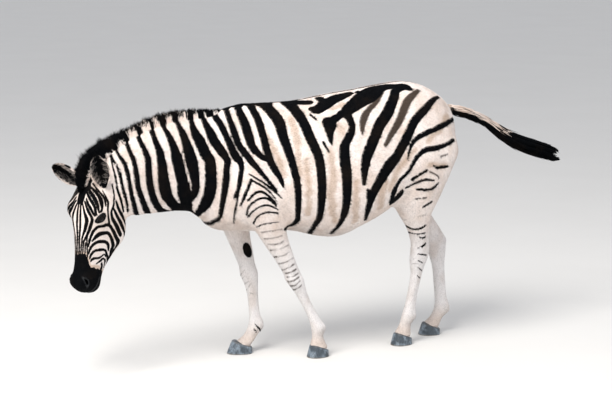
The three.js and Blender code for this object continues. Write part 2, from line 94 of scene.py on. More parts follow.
# down from the poll, centre to the front, half width, front, back, powers
HEAD = numbers("""
-24 -66 26 22 28 2 2, 0 -60 68 60 80 2.3 2.2, 45 -58 92 86 124 2.7 2.4, 95 -58 102 102 150 3.1 2.4,
150 -62 101 110 164 3.1 2.6, 205 -72 91 116 163 2.9 2.9, 255 -84 81 122 153 2.7 3.1,
305 -84 72 118 134 2.6 3.0, 355 -74 63 103 108 2.5 2.8, 405 -64 56 90 86 2.5 2.5,
450 -54 56 80 74 2.6 2.5, 490 -50 60 74 68 2.6 2.4, 520 -50 56 66 60 2.5 2.3, 540 -50 40 48 44 2.2 2.2,
550 -50 12 16 14 2 2""")
TAIL = np.array([  # as the neck
    [0, 520, 1240, 24, 22, 26, 2, 2], [0, 575, 1238, 28, 26, 32, 2, 2], [0, 630, 1219, 23, 23, 24, 2, 2],
    [0, 700, 1200, 20, 20, 22, 2, 2], [0, 770, 1173, 21, 23, 24, 2, 2], [0, 835, 1137, 24, 28, 28, 2, 2],
    [0, 900, 1092, 29, 33, 32, 2, 2], [0, 965, 1052, 34, 38, 37, 2, 2], [0, 1050, 1014, 38, 41, 42, 2, 2],
    [0, 1140, 984, 37, 39, 42, 2, 2], [0, 1220, 956, 31, 35, 37, 2, 2], [0, 1268, 936, 19, 26, 28, 2, 2],
    [0, 1286, 928, 7, 12, 14, 2, 2]])
# x, y, crest level, height, half thickness
MANE = numbers("""
4 -712 1284 8 10, 8 -770 1272 26 15, 18 -850 1259 46 18, 32 -950 1251 57 19, 48 -1060 1236 62 20,
62 -1150 1211 61 20, 78 -1240 1178 63 20, 90 -1325 1146 67 21, 100 -1402 1106 72 23, 108 -1462 1050 70 24,
118 -1494 990 36 22, 122 -1502 950 12 14""")
print("sections of the body", [len(rows) for rows in (TRUNK, NECK, HEAD, TAIL, MANE)])

# %% Sections of the legs
# z, x, y, half width, front, back, power; x is for the left leg
LEGS = {
    "foreleg_left": numbers("""
1180 92 -520 26 60 60 2, 1080 120 -555 62 118 112 2.1, 960 138 -590 78 128 140 2.2,
860 142 -590 78 106 165 2.3, 770 140 -545 72 96 118 2.2, 700 138 -512 64 84 88 2.1,
630 134 -478 54 72 72 2.1, 540 130 -430 43 56 58 2.1, 460 127 -388 38 47 47 2.2,
415 126 -366 39 47 46 2.3, 372 125 -344 33 38 38 2.2, 310 123 -313 24 30 31 2.1,
235 121 -272 23 29 31 2.1, 185 120 -247 28 33 38 2.1, 150 119 -233 32 37 42 2.1,
108 118 -233 27 31 32 2.1, 70 118 -232 35 40 43 2.1, 48 118 -229 43 48 51 2.1, 20 118 -229 43 48 51 2.1"""),
    "foreleg_right": numbers("""
1180 92 -520 26 60 60 2, 1080 120 -560 62 118 112 2.1, 960 138 -605 78 124 145 2.2,
860 142 -612 78 98 170 2.3, 770 140 -598 72 84 130 2.2, 700 138 -590 63 76 92 2.1,
630 133 -574 52 66 72 2.1, 540 129 -545 42 54 56 2.1, 455 126 -520 38 45 45 2.2,
405 125 -508 39 46 44 2.3, 360 124 -499 33 37 37 2.2, 300 122 -492 24 29 30 2.1,
210 120 -484 23 29 30 2.1, 165 119 -479 28 34 37 2.1, 128 118 -482 33 39 43 2.1, 90 118 -508 29 37 38 2.1,
66 118 -532 36 44 44 2.1, 48 118 -554 43 50 51 2.1, 20 118 -554 43 50 51 2.1"""),
    "hindleg_left": numbers("""
1240 106 322 34 60 84 2, 1150 126 352 86 144 164 2.1, 1040 134 380 112 180 184 2.3,
940 134 362 114 180 166 2.3, 850 132 336 106 158 152 2.2, 770 128 322 92 124 130 2.2,
700 120 330 72 90 92 2.1, 630 107 352 53 62 70 2.1, 560 94 368 40 50 60 2.1, 505 86 374 35 50 60 2.2,
460 81 374 35 52 58 2.3, 415 78 368 32 42 46 2.2, 360 76 360 26 31 36 2.1, 230 73 334 24 29 34 2.1,
180 72 325 28 34 40 2.1, 143 71 319 32 39 44 2.1, 105 70 303 28 35 37 2.1, 72 70 291 35 43 45 2.1,
48 70 284 42 49 52 2.1, 20 70 284 42 49 52 2.1"""),
    "hindleg_right": numbers("""
1240 106 326 34 60 84 2, 1150 126 356 86 144 164 2.1, 1040 134 390 112 180 188 2.3,
940 134 385 112 176 176 2.3, 850 132 380 102 158 150 2.2, 770 126 392 86 132 122 2.2,
700 118 428 68 98 96 2.1, 630 105 486 52 70 76 2.1, 565 94 540 40 56 64 2.1, 512 88 566 36 56 60 2.2,
462 84 574 35 52 52 2.3, 415 80 576 32 42 46 2.2, 360 78 580 26 32 38 2.1, 225 74 591 24 31 36 2.1,
165 72 597 28 35 41 2.1, 125 71 594 32 40 48 2.1, 90 70 568 29 38 38 2.1, 66 70 546 36 44 44 2.1,
48 70 532 42 49 51 2.1, 20 70 532 42 49 51 2.1""")}
HAND = {name: 1 if name.endswith("left") else -1 for name in LEGS}
TOES_OUT = 12  # degrees that each foot turns outwards, from the level TURN_FROM down to TURN_FULL
TURN_FROM, TURN_FULL = 640, 400
print("sections of the legs", {name: len(rows) for name, rows in LEGS.items()})


# %% Smooth rows
def smooth_rows(rows, steps=10):
    """A Catmull-Rom curve through the rows: between rows b and c, with a and d their neighbours and
    u from 0 to 1, the value is half of a(-u+2u2-u3) + b(2-5u2+3u3) + c(u+4u2-3u3) + d(-u2+u3)."""
    t = np.linspace(0, len(rows) - 1, (len(rows) - 1) * steps + 1)
    i = np.minimum(t.astype(int), len(rows) - 2)
    u = (t - i)[:, None]
    a, b, c, d = [rows[np.clip(i + k, 0, len(rows) - 1)] for k in (-1, 0, 1, 2)]
    return (a * (-u + 2 * u**2 - u**3) + b * (2 - 5 * u**2 + 3 * u**3)
            + c * (u + 4 * u**2 - 3 * u**3) + d * (-u**2 + u**3)) / 2


def rows_at(s, key, table):
    """All columns of a table at the places `s`, straight between its rows, which lie at `key`."""
    return np.stack([np.interp(s, key, table[:, c]) for c in range(table.shape[1])], -1)


def unit(v):
    """Vectors divided by their own lengths."""
    return v / np.maximum(np.linalg.norm(v, axis=-1, keepdims=True), 1e-9)


def square_to(v, axis):
    """The part of v that is square to the axis, as a unit vector."""
    return unit(v - axis * (v @ axis))


def ramp(value, start, end):
    """0 where the value is at the start or before it, 1 from the end on, and even in between."""
    return np.clip((value - start) / (end - start), 0, 1)


def run_length(p):
    """The length of a line of points, from its first point to each of them."""
    return np.concatenate([[0], np.cumsum(np.linalg.norm(np.diff(p, axis=0), axis=1))])


def column_at(rows, key, columns):
    """The columns of a table at the values `key` of its first column, straight between its rows."""
    order = np.argsort(rows[:, 0])
    return [np.interp(key, rows[order, 0], rows[order, c]) for c in columns]


TRUNK_ROWS = smooth_rows(TRUNK)
HEAD_ROWS = smooth_rows(HEAD)
LEG_ROWS = {name: smooth_rows(rows) for name, rows in LEGS.items()}
print("sections", len(TRUNK_ROWS), len(HEAD_ROWS), {n: len(r) for n, r in LEG_ROWS.items()})

# %% [markdown]
# ## Shape as a field
# To let the tubes melt into each other, each is written as a field: a number for every point of
# space, below zero inside and above zero outside, that grows by about one for each millimetre. The
# smaller of two fields is both shapes joined, and a smooth minimum rounds the crease between them,
# as muscle and skin do. A surface mesh pulled out of the field is closed and has no seams.


# %% Field of one section
def egg(across, high, half, above, below, power_up, power_down):
    """Distance to an egg-shaped section along the line from its centre: reach - reach / gauge,
    where gauge is (|across/half|^p + |high/tall|^p)^(1/p), which is 1 on the outline."""
    tall = np.where(high > 0, above, below)
    power = np.where(high > 0, power_up, power_down)
    gauge = (np.abs(across / half) ** power + np.abs(high / tall) ** power) ** (1 / power)
    reach = np.hypot(across, high)
    return reach - reach / np.maximum(gauge, 1e-3)


def capped(plane, past):
    """A tube that ends: `past` is the distance beyond its nearer end, below zero within it."""
    return np.where(past > 0, np.hypot(np.maximum(plane, 0), past), np.maximum(plane, past))


def smooth_min(a, b, reach):
    """The smaller of a and b, rounded where they differ by less than `reach`."""
    near = np.maximum(reach - np.abs(a - b), 0)
    return np.minimum(a, b) - near**2 / (4 * reach)


print("two fields of 5 blend into", smooth_min(5, 5, 20))

# %% The head's own axes
POLL = np.array([110.0, -1452.0, 1003.0])  # top of the skull, between the ears
HEAD_TURN, NOSE_AHEAD = np.radians([24, 9])
FACING = np.array([math.sin(HEAD_TURN), -math.cos(HEAD_TURN), 0])
UPRIGHT = np.array([0, 0, 1.0])
HEAD_DOWN = FACING * math.sin(NOSE_AHEAD) - UPRIGHT * math.cos(NOSE_AHEAD)
HEAD_FRONT = FACING * math.cos(NOSE_AHEAD) + UPRIGHT * math.sin(NOSE_AHEAD)
HEAD_SIDE = np.cross(UPRIGHT, FACING)
HEAD_AXES = np.stack([HEAD_DOWN, HEAD_FRONT, HEAD_SIDE])


def to_head(p):
    """Down the face, out of the forehead and to the animal's left, from the poll."""
    return (p - POLL) @ HEAD_AXES.T


def from_head(h):
    """The way back: a point in the head's measures, in the body's."""
    return np.asarray(h, float) @ HEAD_AXES + POLL


def folded_head(p):
    """As to_head, with the right half folded over on to the left one."""
    h = to_head(p)
    return np.stack([h[:, 0], h[:, 1], np.abs(h[:, 2])], 1)


print("down the face", HEAD_DOWN.round(2), "out of the forehead", HEAD_FRONT.round(2))


# %% Fields of the tubes
def trunk_field(p):
    """An egg-shaped section across the level y."""
    top, level, bottom, half, crown, keel = column_at(TRUNK_ROWS, p[:, 1], range(1, 7))
    plane = egg(p[:, 0], p[:, 2] - level, half, top - level, level - bottom, crown, keel)
    return capped(plane, np.maximum(TRUNK[0, 0] - p[:, 1], p[:, 1] - TRUNK[-1, 0]))


def toe_turn(z):
    """How far a leg's section is turned outwards at a level, in radians: a smooth step."""
    share = ramp(z, TURN_FROM, TURN_FULL)
    return math.radians(TOES_OUT) * share**2 * (3 - 2 * share)


def leg_axes(name, p):
    """A point in a leg's own measures: outwards and forwards from the middle at its level."""
    x, y = column_at(LEG_ROWS[name], p[:, 2], (1, 2))
    turn = HAND[name] * toe_turn(p[:, 2])
    dx, dy = p[:, 0] - HAND[name] * x, p[:, 1] - y
    return (dx * np.cos(turn) + dy * np.sin(turn)) * HAND[name], dx * np.sin(turn) - dy * np.cos(turn)


def leg_field(name, p):
    """Level sections, one below the other."""
    out, ahead = leg_axes(name, p)
    half, front, back, power = column_at(LEG_ROWS[name], p[:, 2], (3, 4, 5, 6))
    top, foot = LEGS[name][0, 0], LEGS[name][-1, 0]
    plane = egg(out, ahead, half, front, back, power, power)
    return capped(plane, np.maximum(foot - p[:, 2], p[:, 2] - top))


print("a foot is turned out by", round(math.degrees(toe_turn(0))), "degrees")


# %% Curved tubes
SINKING = 100  # how far a tube's surface sinks at its very end
PLACE_ROUNDS = 4  # steps along a line to the section that a point lies in


class Line:
    """Sections square to a curved line, each with `up` as near to the vertical as that allows."""

    def __init__(self, rows, sink=(1, 1)):
        self.rows = smooth_rows(rows)
        self.sink = sink  # lengths at the start and end over which the tube sinks into the next one
        centre = self.rows[:, :3]
        self.way = unit(np.gradient(centre, axis=0))
        self.side = unit(np.cross(self.way, UPRIGHT))
        self.up = np.cross(self.side, self.way)
        self.length = run_length(centre)

    def at(self, s, table):
        return rows_at(s, self.length, table)

    def place(self, p):
        """Along, across and up for each point: start from the level y, then step along the line."""
        y = self.rows[:, 1]
        order = np.argsort(y)
        s = np.interp(p[:, 1], y[order], self.length[order])
        for _ in range(PLACE_ROUNDS):
            offset = p - self.at(s, self.rows[:, :3])
            s = s + (offset * self.at(s, self.way)).sum(1)
        offset = p - self.at(s, self.rows[:, :3])
        return s, (offset * self.at(s, self.side)).sum(1), (offset * self.at(s, self.up)).sum(1)

    def field(self, p):
        s, across, high = self.place(p)
        half, above, below, crown, keel = self.at(s, self.rows[:, 3:]).T
        share = np.maximum(1 - s / self.sink[0], 1 - (self.length[-1] - s) / self.sink[1])
        share = np.clip(share, 0, 1)
        plane = egg(across, high, half, above, below, crown, keel) + SINKING * share**2
        return capped(plane, np.maximum(-s, s - self.length[-1]))


NECK_LINE = Line(NECK, (190, 90))
TAIL_LINE = Line(TAIL)
DOCK = TAIL.copy()
DOCK[:, 3:6] = np.minimum(DOCK[:, 3:6], np.interp(DOCK[:, 1], [700, 1286], [24, 7])[:, None])
DOCK_LINE = Line(DOCK, (50, 1))  # the tail without its hair
print("neck", round(NECK_LINE.length[-1]), "tail", round(TAIL_LINE.length[-1]), "millimetres long")

# %% The head's field
HEAD_SWELLINGS = [  # down, front, side, and the radii on those lines
    [146, 10, 80, 46, 30, 30],  # brow
    [236, -150, 44, 84, 78, 38],  # cheek muscle
    [490, -12, 38, 36, 30, 27],  # nostril
    [500, -92, 0, 34, 26, 34]]  # chin
SWELLING_BLEND = 22  # reach of their blend with the head


def ellipsoid(h, centre, radii):
    """(gauge - 1) times the mean radius, with gauge the length of the offset over the radii."""
    gauge = np.linalg.norm((h - centre) / radii, axis=1)
    return (gauge - 1) * np.mean(radii)


def head_field(p):
    """Sections square to the face, with brow, cheek, nostrils and chin blended in."""
    h = to_head(p)
    centre, half, fore, aft, brow, jaw = column_at(HEAD_ROWS, h[:, 0], range(1, 7))
    plane = egg(h[:, 2], h[:, 1] - centre, half, fore, aft, brow, jaw)
    field = capped(plane, np.maximum(HEAD[0, 0] - h[:, 0], h[:, 0] - HEAD[-1, 0]))
    folded_over = folded_head(p)
    for swelling in HEAD_SWELLINGS:
        field = smooth_min(field, ellipsoid(folded_over, swelling[:3], swelling[3:]), SWELLING_BLEND)
    return field


print("field at the poll", head_field(POLL[None]).round(1))


# %% All tubes, each worked out only in its own box
FAR = 400.0  # field of a tube outside its box
TUBES = {  # name: (field, lowest corner, highest corner, reach of its blend)
    "trunk": (trunk_field, (-300, -840, 590), (300, 610, 1400), 0),
    "neck": (NECK_LINE.field, (-190, -1400, 690), (190, -520, 1310), 80),
    "head": (head_field, (-60, -1640, 420), (240, -1180, 1050), 46),
    "tail": (DOCK_LINE.field, (-50, 500, 900), (50, 1300, 1280), 30)}
for name, rows in LEGS.items():
    lateral = sorted((HAND[name] * -20, HAND[name] * 260))
    low_y, high_y = (rows[:, 2] - 190).min(), (rows[:, 2] + 200).max()
    TUBES[name] = (lambda p, name=name: leg_field(name, p),
                   (lateral[0], low_y, 10), (lateral[1], high_y, 1250), 42)
MARGIN = 70


def tube_fields(p):
    """Each tube's field at the points, as a dictionary of arrays."""
    found = {}
    for name, (field, low, high, _) in TUBES.items():
        near = ((p > np.array(low) - MARGIN) & (p < np.array(high) + MARGIN)).all(1)
        value = np.full(len(p), FAR)
        value[near] = field(p[near])
        found[name] = value
    return found


def body_field(p, fields=None):
    """All tubes in one, each blended in with its own reach."""
    fields = fields or tube_fields(p)
    whole = fields["trunk"]
    for name, (_, _, _, reach) in list(TUBES.items())[1:]:
        whole = smooth_min(whole, fields[name], reach)
    return whole


print("tubes", list(TUBES))

# %% [markdown]
# ## Muscle, bone and folds
# Tubes alone look like a balloon animal. What makes it a zebra is what shows through the skin: the
# shoulder blade, the elbow, the hollow of the flank, the hip bone, tendons behind the cannon bones.
# Each is a soft swelling or dent, a bell curve in space that is added to the field.

# %% Swellings of the body
MUSCLES = [  # x (both sides), y, z, radii on x, y and z, height (below zero is a dent)
    [120, -600, 1120, 60, 34, 110, 6], [205, -640, 870, 50, 60, 60, 8],  # shoulder blade and its point
    [190, -505, 850, 60, 80, 85, 9], [165, -418, 752, 40, 26, 30, 9],  # triceps, elbow
    [175, -700, 1010, 60, 26, 130, -8], [225, -395, 860, 60, 26, 110, -6],  # before and behind the shoulder
    [60, -835, 850, 45, 50, 60, 10], [0, -850, 830, 14, 40, 90, -10],  # breast and its groove
    [225, 175, 1130, 60, 60, 75, -10], [175, 262, 1290, 40, 44, 40, 9],  # flank hollow, hip bone
    [190, 130, 850, 50, 60, 34, 9], [230, 60, 800, 60, 70, 40, 4],  # fold from the stifle, belly edge
    [205, 300, 1010, 60, 60, 130, 6], [215, 420, 930, 40, 18, 120, -5],  # thigh and the groove behind
    [130, 400, 1310, 60, 90, 50, 5], [80, 560, 1150, 34, 36, 60, 8],  # croup, point of the buttock
    [0, 600, 1010, 18, 60, 120, -22], [0, -100, 1370, 22, 500, 30, 3],  # cleft, spine
    [240, -230, 960, 60, 16, 130, -2], [250, -170, 960, 60, 16, 140, -2],  # between the ribs
    [255, -110, 960, 60, 16, 140, -2], [255, -50, 950, 60, 16, 130, -1.5],
    [110, -900, 850, 40, 120, 16, -6], [105, -1120, 860, 40, 160, 14, -5],  # groove of the windpipe
    [90, -1180, 1010, 40, 130, 60, 4], [100, -960, 1100, 40, 120, 50, 3]]  # neck muscles
LEG_MUSCLES = {  # z, forwards, outwards (both sides), radii, height
    "fore": [
        [415, 34, 12, 24, 14, 18, 3], [455, 20, 0, 14, 30, 40, -2], [430, -40, 10, 20, 12, 14, 4],
        [235, -12, 24, 90, 7, 8, -3], [160, -36, 12, 16, 12, 12, 4], [560, 20, 30, 70, 24, 20, 3],
        [110, -34, 8, 14, 10, 14, -2], [352, 0, 30, 16, 26, 12, -2]],
    "hind": [
        [512, -58, 0, 20, 14, 16, 7], [580, -34, 26, 52, 13, 14, -7], [470, 20, 24, 26, 20, 12, 4],
        [250, -12, 24, 100, 7, 8, -3], [152, -38, 12, 16, 12, 12, 4], [650, 10, 40, 60, 36, 24, 5],
        [108, -34, 8, 14, 10, 14, -2], [415, -34, 0, 20, 12, 20, -2]]}


BELL_END = 12  # squared offset over the radii past which a bell is left out


def bells(q, rows):
    """The sum of height * exp(-half the squared offset over the radii)."""
    total = np.zeros(len(q))
    for row in rows:
        centre, radii, height = row[:3], np.array(row[3:6]), row[6]
        reach = (((q - centre) / radii) ** 2).sum(1)
        near = reach < BELL_END
        total[near] += height * np.exp(-reach[near] / 2)
    return total


LEG_TOP = 720  # level below which a leg has swellings and bars of its own


def muscles(p, fields):
    """The bells of the trunk on both sides, and those of each leg in its own measures."""
    total = bells(np.abs(p) * [1, 0, 0] + p * [0, 1, 1], MUSCLES)
    for name in LEGS:
        near = (fields[name] < 60) & (p[:, 2] < LEG_TOP)
        out, ahead = leg_axes(name, p[near])
        total[near] += bells(np.stack([p[near, 2], ahead, np.abs(out)], 1), LEG_MUSCLES[name[:4]])
    return total


print("swellings on the body", len(MUSCLES), "and the legs", {n: len(r) for n, r in LEG_MUSCLES.items()})

# %% [markdown]
# ## The head
# The head is where people look first. The eye sits at the side, in a bony ring, behind two lids with
# an almond-shaped slit between them. A ridge of bone runs forwards from below it, the temple is
# hollow, the nostril is a comma with a raised rim, and the lips meet in a soft groove.

# %% Eyes, lids, nostrils and mouth
EYE_RADIUS = 20
EYE = np.array([174, -16, 84])  # down, front and side of the head
GAZE = unit(np.array([0.10, 0.42, 0.90]))  # where the left eye looks
SLIT = square_to(np.array([-0.62, -0.70, 0.36]), GAZE)  # along the slit, from the nose to the temple
SLIT_HALF, UPPER_LID, LOWER_LID = 20, 12, 8.5
LID, LID_BLEND = 3.4, 12  # thickness of a lid, and the reach of its blend with the head
LID_UP = np.cross(GAZE, SLIT)
LID_UP *= -np.sign(LID_UP[0])
NOSTRIL = np.array([487, -6, 45])
NOSTRIL_OUT = unit(np.array([0.10, 0.62, 0.78]))
NOSTRIL_LONG = square_to(np.array([-0.86, 0.42, -0.25]), NOSTRIL_OUT)
NOSTRIL_RADII = 19, 7.5, 26  # along it, across it and into it
MOUTH = np.array([[552, -34], [536, -50], [514, -64], [490, -76], [468, -84]])  # down, front
CHIN_END = 556  # where the groove of the lips stops
FACE_MUSCLES = [  # down, front, side, radii, height
    [232, -48, 88, 44, 11, 16, 4.5], [112, -26, 92, 22, 20, 18, -6],  # cheek bone, temple
    [330, 6, 50, 60, 22, 16, -3.5], [430, -22, 56, 40, 18, 20, -3],  # beside the nose
    [300, -150, 60, 26, 60, 20, -3], [345, -110, 58, 40, 24, 16, -3],  # behind and before the cheek
    [200, -235, 40, 60, 16, 40, -6], [470, 20, 0, 40, 12, 12, -2]]  # throat, between the nostrils


def slit_gauge(h):
    """Distance outside the almond: height over the lid's parabola 1 - (along / half)^2."""
    offset = h - EYE
    along, high = offset @ SLIT, offset @ LID_UP
    arch = 1 - (along / SLIT_HALF) ** 2
    return np.maximum(high / UPPER_LID - arch, -high / LOWER_LID - arch) * 9, offset @ GAZE


def nostril_gauge(h):
    """1 on the rim of the comma: long along the nose, narrow across, and deep."""
    offset = h - NOSTRIL
    long, deep = offset @ NOSTRIL_LONG, offset @ NOSTRIL_OUT
    across = offset @ np.cross(NOSTRIL_OUT, NOSTRIL_LONG) + 0.012 * long**2
    return np.linalg.norm(np.stack([long, across, deep], 1) / NOSTRIL_RADII, axis=1)


def mouth_distance(h):
    """Distance to the line of the lips, seen from the side."""
    q = h[:, :2]
    best = np.full(len(q), FAR)
    for a, b in zip(MOUTH[:-1], MOUTH[1:]):
        t = np.clip((q - a) @ (b - a) / ((b - a) @ (b - a)), 0, 1)
        best = np.minimum(best, np.linalg.norm(q - a - t[:, None] * (b - a), axis=1))
    return best


def face(field, h):
    """Lids, nostrils, lips and bone, worked into the head's field."""
    field = field - bells(h, FACE_MUSCLES)
    ball = np.linalg.norm(h - EYE, axis=1) - EYE_RADIUS - LID
    field = smooth_min(field, ball, LID_BLEND)
    slit, out = slit_gauge(h)
    front = (out > 2) & (np.abs(ball) < 30)
    field = field + np.where(front, 2.4 * np.exp(-((slit - 9) / 2.6) ** 2), 0)
    hole = np.maximum(slit, 4 - out)
    field = np.where(front, -smooth_min(-field, hole, 2.5), field)
    gauge = nostril_gauge(h)
    field = field - 3.2 * np.exp(-(((gauge - 1.45) / 0.35) ** 2))
    field = -smooth_min(-field, (gauge - 1) * 8, 4)
    return field + 3.4 * np.exp(-((mouth_distance(h) / 3.0) ** 2)) * (h[:, 0] < CHIN_END)


print("eye at", EYE, "of radius", EYE_RADIUS, "looks", GAZE.round(2))


# %% The skin's field
COAT = 5.0  # depth of the coat on the body
THIN_COAT = 2.5  # and on the face and lower legs
CORONET = 52  # level of the hoof's upper edge
HOOF_INSET = 6  # how far the skin goes in below it
NEAR_SKIN = 80  # only points this near the skin get muscle and coat


def coat_depth(p, fields):
    """Thick on the body, thin where the leg's level is low or the head is near."""
    low = ramp(p[:, 2], 350, 700)
    off_head = ramp(fields["head"], -8, 32)
    return THIN_COAT + (COAT - THIN_COAT) * np.minimum(low, off_head)


def skin_field(p):
    """The body's field, taken in by the coat's depth, with muscle, hooves' insets and the face."""
    fields = tube_fields(p)
    whole = body_field(p, fields)
    near = np.abs(whole) < NEAR_SKIN
    some = {name: value[near] for name, value in fields.items()}
    whole[near] += coat_depth(p[near], some) - muscles(p[near], some)
    whole += HOOF_INSET * ramp(p[:, 2], CORONET, CORONET - 12)
    on_head = fields["head"] < 60
    whole[on_head] = face(whole[on_head], folded_head(p[on_head]))
    return whole


print("field inside the back and above it", skin_field(np.array([[0, 0, 1300.0], [0, 0, 1420]])).round())

# %% [markdown]
# ## From field to skin
# OpenVDB turns a grid of field values into a closed mesh of quads. A grid fine enough for an eyelid
# would be far too heavy for a flank, so the grid is coarse to begin with, and is divided later where
# that is needed. The vertices slide along the field's slope until they lie on it exactly.

# %% A coarse closed mesh
CELL = 13.4  # side of a cell of the grid
GRID_LOW = np.array([-300.0, -1650.0, 14.0])
GRID_SIZE = np.array([46, 220, 105])
BAND = 60.0  # field values are cut off at this distance


def coarse_mesh():
    """The field on a grid, and the closed mesh of quads where it is zero."""
    ranges = [GRID_LOW[i] + CELL * np.arange(GRID_SIZE[i]) for i in range(3)]
    p = np.stack(np.meshgrid(*ranges, indexing="ij"), -1).reshape(-1, 3)
    values = np.clip(skin_field(p), -BAND, BAND).reshape(GRID_SIZE).astype(np.float32)
    grid = vdb.FloatGrid(BAND)
    grid.copyFromArray(values)
    points, quads = grid.convertToQuads(isovalue=0.0)
    return GRID_LOW + CELL * np.asarray(points, float), np.asarray(quads)


def slope(field, p, step=0.6):
    """The field's gradient, by differences over two short steps on each axis."""
    offsets = np.eye(3) * step
    return np.stack([(field(p + o) - field(p - o)) / (2 * step) for o in offsets], 1)


LONGEST_MOVE = 6  # how far a point may slide at once


def settle(p, field, rounds=3):
    """Slides points along the slope on to the field's surface: p - slope * value / slope squared."""
    for _ in range(rounds):
        grade = slope(field, p)
        move = grade * (field(p) / np.maximum((grade**2).sum(1), 0.05))[:, None]
        size = np.linalg.norm(move, axis=1)[:, None]
        p = p - move * np.minimum(1, LONGEST_MOVE / np.maximum(size, 1e-9))
    return p


def biggest_shell(points, quads):
    """Keeps the largest closed shell: every point takes the least label of its faces, over and over."""
    label = np.arange(len(points))
    settled = False
    while not settled:
        lower = label.copy()
        np.minimum.at(lower, quads, label[quads].min(1)[:, None])
        lower = lower[lower]
        settled = (lower == label).all()
        label = lower
    keep = label == np.bincount(label).argmax()
    place = np.cumsum(keep) - 1
    return points[keep], place[quads[keep[quads[:, 0]]]]


points, quads = biggest_shell(*coarse_mesh())
points = settle(points, skin_field)
print("coarse skin", len(points), "points", len(quads), "quads")


# %% [markdown]
# ## The camera's frame
# The animal is looked at from its left front, a little above its back. The markings are drawn in the
# same frame, 612 by 408, because a stripe is easiest to give as it is seen. Each point of a stripe
# is a line of sight, and where that meets the body is the stripe's place in space.

# %% Camera and lines of sight
FRAME_WIDTH, FRAME_HEIGHT = 612, 408
LENS_PIXELS = 1975  # focal length in pixels of the frame
CAMERA_AT = np.array([9043.0, -4537.0, 2490.0])
CAMERA_TURN, CAMERA_DIP = np.radians([25.4, 9.7])
LEVEL_AHEAD = np.array([-math.cos(CAMERA_TURN), math.sin(CAMERA_TURN), 0])
CAMERA_RIGHT = np.array([math.sin(CAMERA_TURN), math.cos(CAMERA_TURN), 0])
CAMERA_AHEAD = LEVEL_AHEAD * math.cos(CAMERA_DIP) - UPRIGHT * math.sin(CAMERA_DIP)
CAMERA_UP = np.cross(CAMERA_RIGHT, CAMERA_AHEAD)


def sight(pixels):
    """Unit directions of the lines of sight through points of the frame."""
    x = (pixels[:, :1] - FRAME_WIDTH / 2) / LENS_PIXELS
    y = (FRAME_HEIGHT / 2 - pixels[:, 1:2]) / LENS_PIXELS
    return unit(CAMERA_AHEAD + x * CAMERA_RIGHT + y * CAMERA_UP)


WALK_FROM, WALK_TO, WALK_STEPS = 8600.0, 11800, 110  # millimetres from the camera, and steps
ON_BODY, TOUCHING = 0.4, 3  # nearest miss that ends the walk, and that counts as met


def meet(pixels):
    """Walks along each line of sight by most of the field's value until it is on the body, and
    otherwise keeps the nearest point it passed. Also says which lines met the body."""
    ray = sight(pixels)
    t = np.full(len(ray), WALK_FROM)
    best, best_t = np.full(len(ray), 1e9), t.copy()
    for _ in range(WALK_STEPS):
        value = body_field(CAMERA_AT + ray * t[:, None])
        closer = np.abs(value) < best
        best_t = np.where(closer, t, best_t)
        best = np.where(closer, np.abs(value), best)
        walking = (best > ON_BODY) & (t < WALK_TO)
        t = np.where(walking, t + np.clip(value * 0.8, -20, 50), t)
    return CAMERA_AT + ray * best_t[:, None], best < TOUCHING


print("camera ahead", CAMERA_AHEAD.round(3), "right", CAMERA_RIGHT.round(3))

# %% [markdown]
# ## Stripes
# Broad black bands run from the spine to the belly, with brown shadows between them on the flank,
# as in zebras from the south. Thin lines ring the face. Each line of a table is one stripe: x, y
# and width at points along it, in the frame.

# %% Black bands
def table_rows(text):
    """The lines of a table of stripes. A line that ends in a comma goes on in the next one."""
    return text.strip().replace(",\n", ", ").splitlines()


